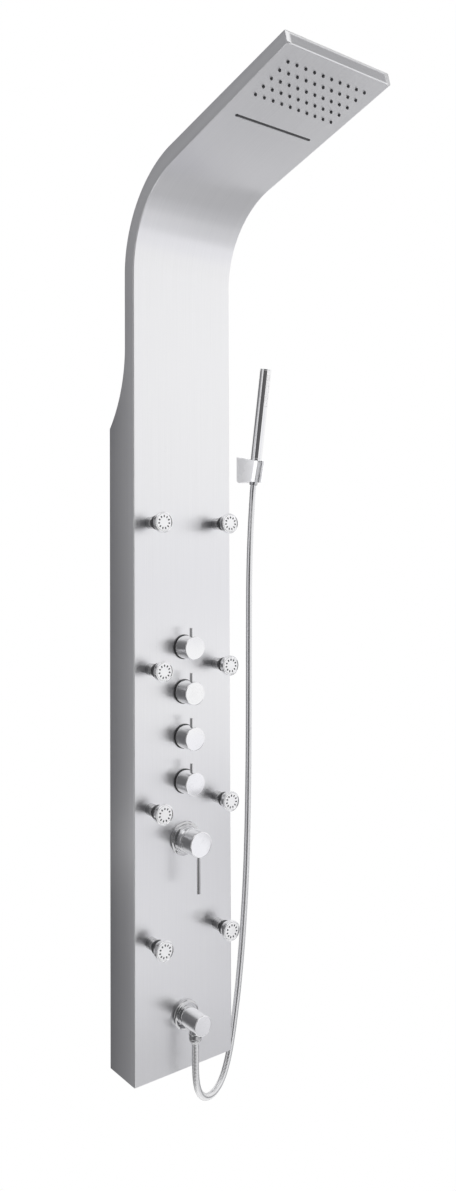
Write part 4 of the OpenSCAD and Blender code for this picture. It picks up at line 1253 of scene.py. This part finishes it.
def flat_map(piece: Piece) -> None:
    """Gives a piece of flat faces a grain map: x across and z, or y, along.

    Args:
        piece: The piece, with its place in its mesh.
    """
    mesh = piece.data
    layer = mesh.uv_layers.new(name=SheetMap.GRAIN.value)
    for face in mesh.polygons:
        for loop in face.loop_indices:
            co = mesh.vertices[mesh.loops[loop].vertex_index].co
            side = abs(face.normal.x) > 0.7
            layer.data[loop].uv = (co.y if side else co.x, co.z if abs(face.normal.z) < 0.7 else co.y)


def ring_cutter(bm: Draft, x: float, u: float, radius: float, sides: int) -> None:
    """Adds a round cutter to a draft, at a place across the arm and from its tip."""
    angles = [math.tau * k / sides for k in range(sides)]
    prism_cutter(bm, [(x + radius * math.cos(a), u + radius * math.sin(a)) for a in angles])


def prism_cutter(bm: Draft, corners: Sequence[Point]) -> None:
    """Adds an upright prism through the sheet to a draft in the arm's frame.

    Args:
        bm: The draft.
        corners: Its outline, counter-clockwise.
    """
    low, high = ([bm.verts.new((x, y, z)) for x, y in corners] for z in (-2.0, 2.2))
    bm.faces.new(list(reversed(low)))
    bm.faces.new(high)
    for k in range(len(corners)):
        n = (k + 1) % len(corners)
        bm.faces.new([low[k], low[n], high[n], high[k]])


SHEET = FoldedSheet()


# Rain head


@dataclass(frozen=True)
class RainHead:
    """Rubber nozzles under the arm's tip, and the waterfall slot's lining, whose dark lips are painted shade.
    """

    columns: int = 10
    rows: int = 5
    pitch_x: float = 16.5
    pitch_u: float = 18.4
    first_u: float = 29.2
    nozzle_r: float = 2.2
    nozzle_tip_r: float = 1.75
    nozzle_out: float = 2.0
    nozzle_root: float = 1.4
    hole_gap: float = 0.25
    sides: int = 14
    mat_edge: float = 8.0
    mat_z: Point = (1.25, 2.7)
    slot_u: float = 151.7
    slot_l: float = 148.0
    slot_w: float = 5.0
    lip_z: Point = (0.7, 2.6)
    lip_gap: float = 0.6

    def places(self) -> list[Point]:
        """Every nozzle's place across the arm and from the tip."""
        return [((i - (self.columns - 1) / 2) * self.pitch_x, self.first_u + k * self.pitch_u)
                for i in range(self.columns) for k in range(self.rows)]

    def build(self, finishes: Finishes) -> None:
        """Makes the mat with its nozzles and lines the slot.

        Args:
            finishes: The panel's finishes.
        """
        sizes = {"Columns": self.columns, "Rows": self.rows, "Pitch X": self.pitch_x * MM,
                 "Pitch U": self.pitch_u * MM, "Radius": self.nozzle_r * MM, "Tip": self.nozzle_tip_r * MM,
                 "Height": (self.nozzle_out + self.nozzle_root) * MM}
        mesh = self._tree(finishes.rubber).grow("nozzle_grid", bpy.data.meshes.new("nozzle_grid"), sizes)
        middle_u = self.first_u + (self.rows - 1) * self.pitch_u / 2
        mesh.transform(Matrix.Translation((0, middle_u * MM, -self.nozzle_out * MM)))
        bm = bmesh.new()
        bm.from_mesh(mesh)
        for v in bm.verts:
            v.co /= MM
        half = (self.columns - 1) * self.pitch_x / 2 + self.mat_edge
        reach = (self.rows - 1) * self.pitch_u / 2 + self.mat_edge
        slab(bm, (-half, half), (middle_u - reach, middle_u + reach), self.mat_z, 0.3)
        nozzles = add_object("rain_nozzles", bm, arm_frame(), finishes.rubber, 50.0)
        lips, stud = self._slot_lining(finishes)
        for piece, node in ((nozzles, "rain_nozzle_mat"), (lips, ""), (stud, "")):
            declare(piece, Body.PANEL.value, node)
        log.info("rain head %d faces", len(nozzles.data.polygons))

    def _slot_lining(self, finishes: Finishes) -> tuple[Piece, Piece]:
        """Lines the waterfall slot with two dark lips that paint shade inside it, and a round stud at its
        left end.

        Args:
            finishes: The panel's finishes.

        Returns:
            The lips and the stud.
        """
        bm = bmesh.new()
        end, half = self.slot_l / 2 - 0.9, self.slot_w / 2 - 0.1
        # Painted shade: two dark slabs just inside the slot, so that it reads as shaded.
        for side in (-1, 1):
            low, high = sorted(self.slot_u + side * off for off in (self.lip_gap, half))
            slab(bm, (-end, end), (low, high), self.lip_z, 0.25)
        lips = add_object("slot_painted_shade_lips", bm, arm_frame(), finishes.slot_shade_liner, 40.0)
        stud = bmesh.new()
        turn_into(stud, [(0, -0.5, 0), (2.4, -0.5, 0), (2.9, 0.0, 0.2), (2.3, 0.2, 0), (2.3, 2.4, 0),
                         (0, 2.4, 0)], 24)
        spot = Matrix.Translation((half - self.slot_l / 2, self.slot_u, 0))
        return lips, add_object("slot_stud", stud, arm_frame() @ spot, finishes.rubber, 40.0)

    def _tree(self, material: Material) -> ShapeTree:
        """Builds the tree that sets out the nozzles on a grid.

        Args:
            material: Finish of the nozzles.

        Returns:
            The tree.
        """
        floats = dict.fromkeys(("Pitch X", "Pitch U", "Radius", "Tip", "Height"), "Float")
        s = ShapeTree("nozzle_grid", {"Columns": "Int", "Rows": "Int", **floats})
        wide, deep = (s.maths("MULTIPLY", s.maths("SUBTRACT", s.given[count], 1.0), s.given[pitch])
                      for count, pitch in (("Columns", "Pitch X"), ("Rows", "Pitch U")))
        columns, rows = s.given["Columns"], s.given["Rows"]
        grid = s.add("GeometryNodeMeshGrid", {"Size X": wide, "Size Y": deep, "Vertices X": columns,
                                              "Vertices Y": rows}).outputs[0]
        ends = {"Radius Top": s.given["Radius"], "Radius Bottom": s.given["Tip"], "Depth": s.given["Height"]}
        cone = s.add("GeometryNodeMeshCone", {"Vertices": self.sides, "Side Segments": 2, **ends}).outputs[0]
        set_out = s.add("GeometryNodeInstanceOnPoints", {"Points": grid, "Instance": cone})
        s.end(set_out.outputs[0], material)
        return s


RAIN = RainHead()


# Fittings on the face


@dataclass(frozen=True)
class BodyJet:
    """One swivelling body jet with its fixed tube."""

    number: int
    x: float
    z: float
    ball_off: float = 27.5
    ball_r: float = 7.0
    head_r: float = 17.25
    head_off: float = 44.0
    sides: int = 72
    hole_ring: float = 10.0
    hole_long: float = 1.55
    holes: int = 11

    def build(self, finishes: Finishes) -> Piece:
        """Makes the turned head, its nozzle ring and the fixed tube.

        Args:
            finishes: The panel's finishes.

        Returns:
            The fixed tube, which shares one node with those of the other jets.
        """
        place = fitting_frame(self.x, self.z)
        r, ball, top = self.head_r, self.ball_off, self.head_off
        back = ball - self.ball_r
        head = lathe(f"jet_head_shell_{self.number}", [
            (6.8, back, 0), (11.2, back, 0), (12.0, back + 0.8, 0.5), (12.0, back + 6.6, 0.4),
            (12.6, back + 7.2, 0.4), (16.6, top - 8.0, 1.2), (r, top - 6.8, 0.6), (r, top - 0.4, 1.0),
            (r - 1.7, top - 0.05, 0.5), (r - 2.4, top - 1.0, 0.4), (0, top - 1.0, 0), (0, ball + 10, 0),
            (6.8, ball + 10, 0), (6.8, back, 0)], place, finishes.chrome, self.sides)
        collar = lathe(f"jet_collar_{self.number}", [
            (11.6, back + 0.9, 0), (12.1, back + 0.9, 0.2), (12.2, back + 1.3, 0.2), (12.2, back + 6.3, 0.2),
            (12.1, back + 6.7, 0.2), (11.6, back + 6.7, 0), (11.6, back + 0.9, 0)],
            place, finishes.black, self.sides)
        disc = lathe(f"jet_disc_{self.number}", [
            (0, top - 2.0, 0), (14.4, top - 2.0, 0), (14.4, top - 0.7, 0.3), (13.4, top - 0.2, 0.5),
            (0, top - 0.2, 0)], place, finishes.jet_face, self.sides)
        face = self._nozzles(finishes, place)
        for piece, slot, node in ((head, "chrome_trim", f"jet_head_{self.number}"),
                                  (face, "nozzle_rubber", ""), (collar, "black_plastic", ""),
                                  (disc, "white_plastic", "")):
            declare(piece, f"head_{self.number}", node)
        return lathe(f"jet_tube_{self.number}", [
            (0, -13.2, 0), (8.0, -13.2, 0.6), (8.0, 0.0, 0), (10.2, 0.0, 0), (10.2, 10.6, 0.2),
            (9.7, 11.0, 0.2), (9.7, 12.0, 0.2), (10.2, 12.4, 0.2), (10.2, 15.0, 0.6), (9.2, 16.0, 0.5),
            (3.5, 16.0, 0.5), (3.5, ball - 6.06, 0), (5.2, ball - 4.69, 0), (6.6, ball - 2.33, 0),
            (self.ball_r, ball, 0), (6.6, ball + 2.33, 0), (5.2, ball + 4.69, 0), (2.0, ball + 6.7, 0),
            (0, ball + 6.7, 0)], place, finishes.painted_shade_chrome, 64)

    def _nozzles(self, finishes: Finishes, place: Matrix) -> Piece:
        """Sets the soft nozzles on their ring.

        Args:
            finishes: The panel's finishes.
            place: The jet's frame.

        Returns:
            The nozzles as one piece.
        """
        bm = bmesh.new()
        top, ring = self.head_off, self.hole_ring
        for k in range(self.holes):
            a = math.tau * k / self.holes + math.pi / 2
            spot = (Matrix.Translation((ring * math.cos(a), ring * math.sin(a), 0))
                    @ Matrix.Rotation(a, 4, "Z") @ Matrix.Diagonal((self.hole_long, 1.0, 1.0, 1.0)))
            stamp(bm, [(0, top - 1.4, 0), (1.3, top - 1.4, 0), (1.3, top - 0.05, 0.15),
                       (0.9, top, 0.1), (0.6, top - 0.13, 0), (0, top - 0.13, 0)], 12, spot)
        return add_object(f"jet_nozzles_{self.number}", bm, place, finishes.rubber)


@dataclass(frozen=True)
class ValveKnob:
    """One stop-valve knob: a smooth cup with a pin that shows its place."""

    number: int
    z: float
    radius: float = 19.75
    wall: float = 2.5
    roof: float = 3.0
    face: float = 34.0
    pin_r: float = 2.5
    pin_off: float = 22.0
    pin_top: float = 33.75

    def build(self, finishes: Finishes) -> None:
        """Makes the cup and the pin.

        Args:
            finishes: The panel's finishes.
        """
        place = fitting_frame(0, self.z)
        r, bore, top, ceiling = self.radius, self.radius - self.wall, self.face, self.face - self.roof
        cup = lathe(f"knob_cup_{self.number}", [
            (bore, 3.0, 0), (r - 0.3, 3.0, 0.3), (r, 3.4, 0.3), (r, 6.4, 0.15), (r - 0.35, 6.6, 0.1),
            (r - 0.35, 7.2, 0.1), (r, 7.4, 0.15), (r, top - 0.1, 1.3), (0, top, 0), (0, ceiling, 0),
            (bore, ceiling, 0), (bore, 3.0, 0)], place, finishes.chrome)
        pin = lathe(f"knob_lever_{self.number}", [
            (0, 8.0, 0), (self.pin_r, 8.0, 0), (self.pin_r, self.pin_top, 0.7), (0, self.pin_top, 0)],
            face_up(place @ Matrix.Translation((0, 0, self.pin_off))), finishes.painted_shade_chrome, 40)
        for piece, node in ((cup, "knob"), (pin, "knob_pin")):
            declare(piece, f"valve_{self.number}", f"{node}_{self.number}")


@dataclass(frozen=True)
class MixerTap:
    """The lever mixer: escutcheon, dome, handle and lever."""

    z: float = 390.0
    tilt_off: float = 10.0
    dome_r: float = 21.6
    handle_r: float = 21.5
    handle_back: float = 19.5
    face: float = 50.0
    lever_r: float = 2.8
    lever_off: float = 42.0
    lever_tip: float = 83.5

    def build(self, finishes: Finishes) -> None:
        """Makes the four shown pieces.

        Args:
            finishes: The panel's finishes.
        """
        place = fitting_frame(0, self.z)
        plate = lathe("mixer_plate", [
            (19.2, 0.0, 0), (29.0, 0.0, 0), (29.0, 2.4, 0.4), (28.0, 3.3, 0.4), (24.9, 3.7, 0.3),
            (24.9, 5.4, 0.4), (24.0, 6.3, 0.4), (19.2, 6.5, 0), (19.2, 0.0, 0)], place, finishes.plate_chrome_painted_shade)
        dome_points = [(self.dome_r * math.cos(a), self.tilt_off + self.dome_r * math.sin(a), 0.0)
                       for a in (math.radians(47.8) * k / 9 for k in range(10))]
        dome = lathe("mixer_dome", [(19.0, 6.6, 0), (self.dome_r, 6.6, 0)] + dome_points
                     + [(13.2, 24.6, 0), (13.2, 23.4, 0), (19.0, 10.0, 0), (19.0, 6.6, 0)],
                     place, finishes.chrome)
        r, back, top = self.handle_r, self.handle_back, self.face
        handle = lathe("mixer_handle_shell", [
            (19.75, back, 0), (r - 0.3, back, 0.3), (r, back + 0.4, 0.2), (r, back + 4.4, 0.15),
            (r - 0.4, back + 4.7, 0.1), (r - 0.4, back + 5.4, 0.1), (r, back + 5.7, 0.15),
            (r, top - 0.1, 1.5), (0, top, 0), (0, top - 3.5, 0), (19.0, top - 3.5, 0), (19.0, back + 6, 0),
            (19.75, back, 0)], place, finishes.chrome)
        lever = lathe("mixer_lever_rod", [
            (0, 10.0, 0), (self.lever_r, 10.0, 0), (self.lever_r, self.lever_tip, 0.8),
            (0, self.lever_tip, 0)],
            face_down(place @ Matrix.Translation((0, 0, self.lever_off))), finishes.painted_shade_chrome, 48)
        for piece, body, node in ((plate, Body.PANEL, "mixer_escutcheon"), (dome, Body.PANEL, "mixer_bonnet"),
                                  (handle, Body.MIXER_GRIP, "mixer_handle"),
                                  (lever, Body.MIXER_GRIP, "mixer_lever")):
            declare(piece, body.value, node)


@dataclass(frozen=True)
class HoseElbow:
    """The outlet elbow with its flange and the lower nut of the hose."""

    z: float = 92.0
    outlet_off: float = 31.0
    nut_off: float = 20.0
    radius: float = 16.75
    face: float = 54.0

    def build(self, finishes: Finishes) -> Piece:
        """Makes the flange, the elbow and the knurled cone nut under it.

        Args:
            finishes: The panel's finishes.

        Returns:
            The nut, which goes with the hose.
        """
        place = fitting_frame(0, self.z)
        r, top = self.radius, self.face
        flange = lathe("elbow_rose", [
            (9.2, 0.0, 0), (25.0, 0.0, 0), (25.0, 4.4, 0.5), (23.9, 6.0, 0.8), (21.6, 7.0, 0.8),
            (9.2, 7.0, 0), (9.2, 0.0, 0)], place, finishes.plate_chrome_painted_shade)
        body = lathe("elbow_barrel", [
            (0, 7.0, 0), (r - 0.7, 7.0, 0), (r - 0.7, 8.2, 0.2), (r, 8.8, 0.3), (r, top - 0.1, 1.4),
            (0, top, 0)], place, finishes.chrome)
        down = face_down(place @ Matrix.Translation((0, 0, self.outlet_off)))
        boss = lathe("elbow_outlet", [
            (0, 8.0, 0), (11.5, 8.0, 0), (11.5, 19.0, 0.7), (10.6, 19.7, 0.3), (9.2, 19.7, 0),
            (9.2, 30.0, 0.4), (0, 30.0, 0)], down, finishes.chrome, 72)
        tail = bmesh.new()
        turn_into(tail, [(0, -29.2, 0), (9.0, -29.2, 0.4), (9.0, 0.0, 0), (0, 0.0, 0)], 48)
        slab(tail, (-12, 12), (-12, 12), (-29.2, -6.6), 1.2)
        rear = add_object("elbow_tail", tail, place, finishes.brass)
        nut = lathe("hose_nut_low", [
            (9.3, 0.0, 0), (10.4, 0.0, 0.3), (11.0, 0.7, 0.4), (11.0, 6.4, 0.3), (10.4, 6.9, 0.2),
            (10.4, 7.5, 0.2), (10.9, 8.0, 0.3), (10.4, 11.2, 0.8), (8.2, 15.0, 0.8), (7.4, 16.0, 0.3),
            (4.5, 16.0, 0), (4.5, 10.0, 0), (9.3, 10.0, 0), (9.3, 0.0, 0)],
            down @ Matrix.Translation((0, 0, self.nut_off)), finishes.nut_metal_painted_shade, 72)
        for piece, slot, node in ((flange, "chrome_trim", "elbow_flange"),
                                  (body, "chrome_trim", "elbow_body"),
                                  (boss, "chrome_trim", ""), (rear, "raw_brass", ""),
                                  (nut, "chrome_trim", "hose_nut_lower")):
            declare(piece, Body.PANEL.value, node)
        return nut


@dataclass(frozen=True)
class StickHandset:
    """The stick handset and its long cone nut."""

    seat: Place = (192.0, -39.0, 1049.0)
    lean: float = 10.2
    radius: float = 11.0
    length: float = 171.0
    cone_l: float = 45.7
    strip_z: Point = (101.0, 163.0)
    strip_w: float = 8.8
    strip_out: float = 0.12
    strip_edge: float = 0.25
    strip_steps: int = 12
    nozzle_x: float = 1.8

    def build(self, finishes: Finishes) -> Piece:
        """Makes the stick, its nozzle strip and the nut.

        Its frame's z runs up the stick from the holder's upper face.

        Args:
            finishes: The panel's finishes.

        Returns:
            The nut, which goes with the hose.
        """
        turn = Matrix.Rotation(math.radians(self.lean), 4, "X")
        place = Matrix.Translation(on_panel(*self.seat)) @ turn @ Matrix.Scale(MM, 4)
        top, low = self.length, -self.cone_l
        stick = lathe("handset_stick", [
            (0, 0.3, 0), (10.2, 0.3, 0.3), (11.0, 1.2, 0.4), (11.0, 4.2, 0.2), (10.6, 4.5, 0.1),
            (10.6, 5.1, 0.1), (11.0, 5.4, 0.2), (11.0, top - 3.2, 0.2), (10.7, top - 2.9, 0.1),
            (10.7, top - 2.4, 0.1), (11.0, top - 2.1, 0.2), (11.0, top - 0.1, 1.2), (0, top, 0)],
            place, finishes.chrome)
        spray = self._strip(finishes, place)
        nut = lathe("hose_nut_high", [
            (4.5, low, 0), (7.4, low, 0.3), (7.9, low + 2.0, 0.3), (11.3, -2.4, 0.5), (11.5, -1.6, 0.3),
            (11.5, -0.5, 0.4), (10.8, 0.0, 0.3), (9.3, 0.0, 0), (9.3, -13.0, 0), (4.5, -14.0, 0),
            (4.5, low, 0)], place, finishes.nut_metal_painted_shade, 72)
        for piece, slot, node in ((stick, "chrome_trim", "handset_body"),
                                  (spray, "nozzle_rubber", "handset_nozzle"),
                                  (nut, "chrome_trim", "hose_nut_upper")):
            declare(piece, Body.HANDSET.value, node)
        return nut

    def _strip(self, finishes: Finishes, place: Matrix) -> Piece:
        """Makes the soft strip with two rows of nozzles on the side towards the user.

        Args:
            finishes: The panel's finishes.
            place: The handset's frame.

        Returns:
            The strip.
        """
        bm = bmesh.new()
        (low, high), count = self.strip_z, self.strip_steps
        r = self.radius + self.strip_out
        sections = []
        for z in (low, low + 0.4, *spread(low, high, count)[1:-1], high - 0.4, high):
            row = []
            for k in range(9):
                x = self.strip_w / 2 * (k / 4 - 1)
                edges = (z in (low, high)) + (k in (0, 8))
                row.append(bm.verts.new((x, -math.sqrt(r * r - x * x) + self.strip_edge * edges, z)))
            sections.append(row)
        for a, b in zip(sections, sections[1:]):
            for k in range(8):
                bm.faces.new([a[k], b[k], b[k + 1], a[k + 1]])
        border = [e for e in bm.edges if e.is_boundary]
        made = bmesh.ops.extrude_edge_only(bm, edges=border)["geom"]
        for v in (g for g in made if isinstance(g, bmesh.types.BMVert)):
            v.co.y = -self.radius + 2.0
        bmesh.ops.holes_fill(bm, edges=[e for e in bm.edges if e.is_boundary])
        for k in range(count):
            z = low + (k + 0.5) * (high - low) / count
            for side in (-1, 1):
                spot = Matrix.Translation((side * self.nozzle_x, -self.radius + 0.25, z))
                stamp(bm, [(0, 0.0, 0), (0.9, 0.0, 0), (0.7, 0.75, 0.1), (0.35, 0.75, 0), (0.3, 0.3, 0),
                           (0, 0.3, 0)], 10, face_down(spot))
        return add_object("handset_strip", bm, place, finishes.soft_strip)


@dataclass(frozen=True)
class WallHolder:
    """The holder beside the column, with its cone seat and open slot."""

    edge: float = 1.1
    edge_angle: float = 35.0
    flat_angle: float = 1.0
    weld: float = 0.001

    def build(self, finishes: Finishes) -> None:
        """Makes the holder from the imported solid's own shape, with rounded edges.

        Args:
            finishes: The panel's finishes.
        """
        bm = bmesh.new()
        bm.from_mesh(frame["nodes"]["handset_holder"].data)
        bmesh.ops.remove_doubles(bm, verts=bm.verts, dist=self.weld * MM)
        flat = math.radians(self.flat_angle)
        bmesh.ops.dissolve_limit(bm, angle_limit=flat, verts=bm.verts, edges=bm.edges)
        piece = add_mesh("holder_block", settle("holder_block", bm), finishes.holder, 30.0)
        bevel = piece.modifiers.new("edges", "BEVEL")
        bevel.width, bevel.segments, bevel.limit_method = self.edge * MM, 3, "ANGLE"
        bevel.angle_limit = math.radians(self.edge_angle)
        bevel.harden_normals = True
        declare(bake_modifiers(piece), Body.PANEL.value, "handset_holder")


class InnerWorks:
    """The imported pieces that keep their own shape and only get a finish."""

    def build(self, finishes: Finishes) -> None:
        """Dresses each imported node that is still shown.

        Args:
            finishes: The panel's finishes.
        """
        by_slot = {"zinc_steel": finishes.zinc, "white_plastic": finishes.white,
                   "nozzle_rubber": finishes.rubber, "water_hose": finishes.pipe,
                   "raw_brass": finishes.brass, "black_plastic": finishes.black,
                   "chrome_trim": finishes.chrome, "metal_hose": finishes.hose_metal,
                   "grey_holder": finishes.holder}
        slots = {row["node"]: row["material_slot"] for row in frame["record"]["subparts"]}
        dressed = 0
        for name, piece in frame["nodes"].items():
            material = by_slot.get(slots.get(name, ""))
            if piece.hide_render or material is None:
                continue
            piece.data.materials.clear()
            piece.data.materials.append(material)
            dressed += 1
        log.info("dressed %d packed pieces", dressed)


def join_pieces(name: str, pieces: Sequence[Piece], material: Material) -> Piece:
    """Joins pieces that share one finish into one.

    Args:
        name: Name of the joined piece.
        pieces: The pieces, which are removed.
        material: Their finish.

    Returns:
        The joined piece.
    """
    bm = bmesh.new()
    for piece in pieces:
        bm.from_mesh(piece.data)
        bpy.data.objects.remove(piece)
    return add_mesh(name, settle(name, bm), material)


def main() -> None:
    """Builds the studio and every sub-assembly in order."""
    logging.basicConfig(level=logging.INFO, format="%(name)s: %(message)s")
    Studio().build()
    finishes = Finishes()
    nuts = HoseElbow().build(finishes), StickHandset().build(finishes)
    ShowerHose().build(finishes, nuts)
    SHEET.build(finishes)
    RAIN.build(finishes)
    places = [(side * JET_SIDE, z) for z in JET_HEIGHTS for side in (-1, 1)]
    tubes = [BodyJet(number, x, z).build(finishes) for number, (x, z) in enumerate(places, 1)]
    tube_set = join_pieces("jet_tube_set", tubes, finishes.painted_shade_chrome)
    declare(tube_set, Body.PANEL.value, "jet_tubes")
    for number, z in enumerate(KNOB_HEIGHTS, 1):
        ValveKnob(number, z).build(finishes)
    MixerTap().build(finishes)
    WallHolder().build(finishes)
    InnerWorks().build(finishes)


if __name__ == "__main__":
    main()
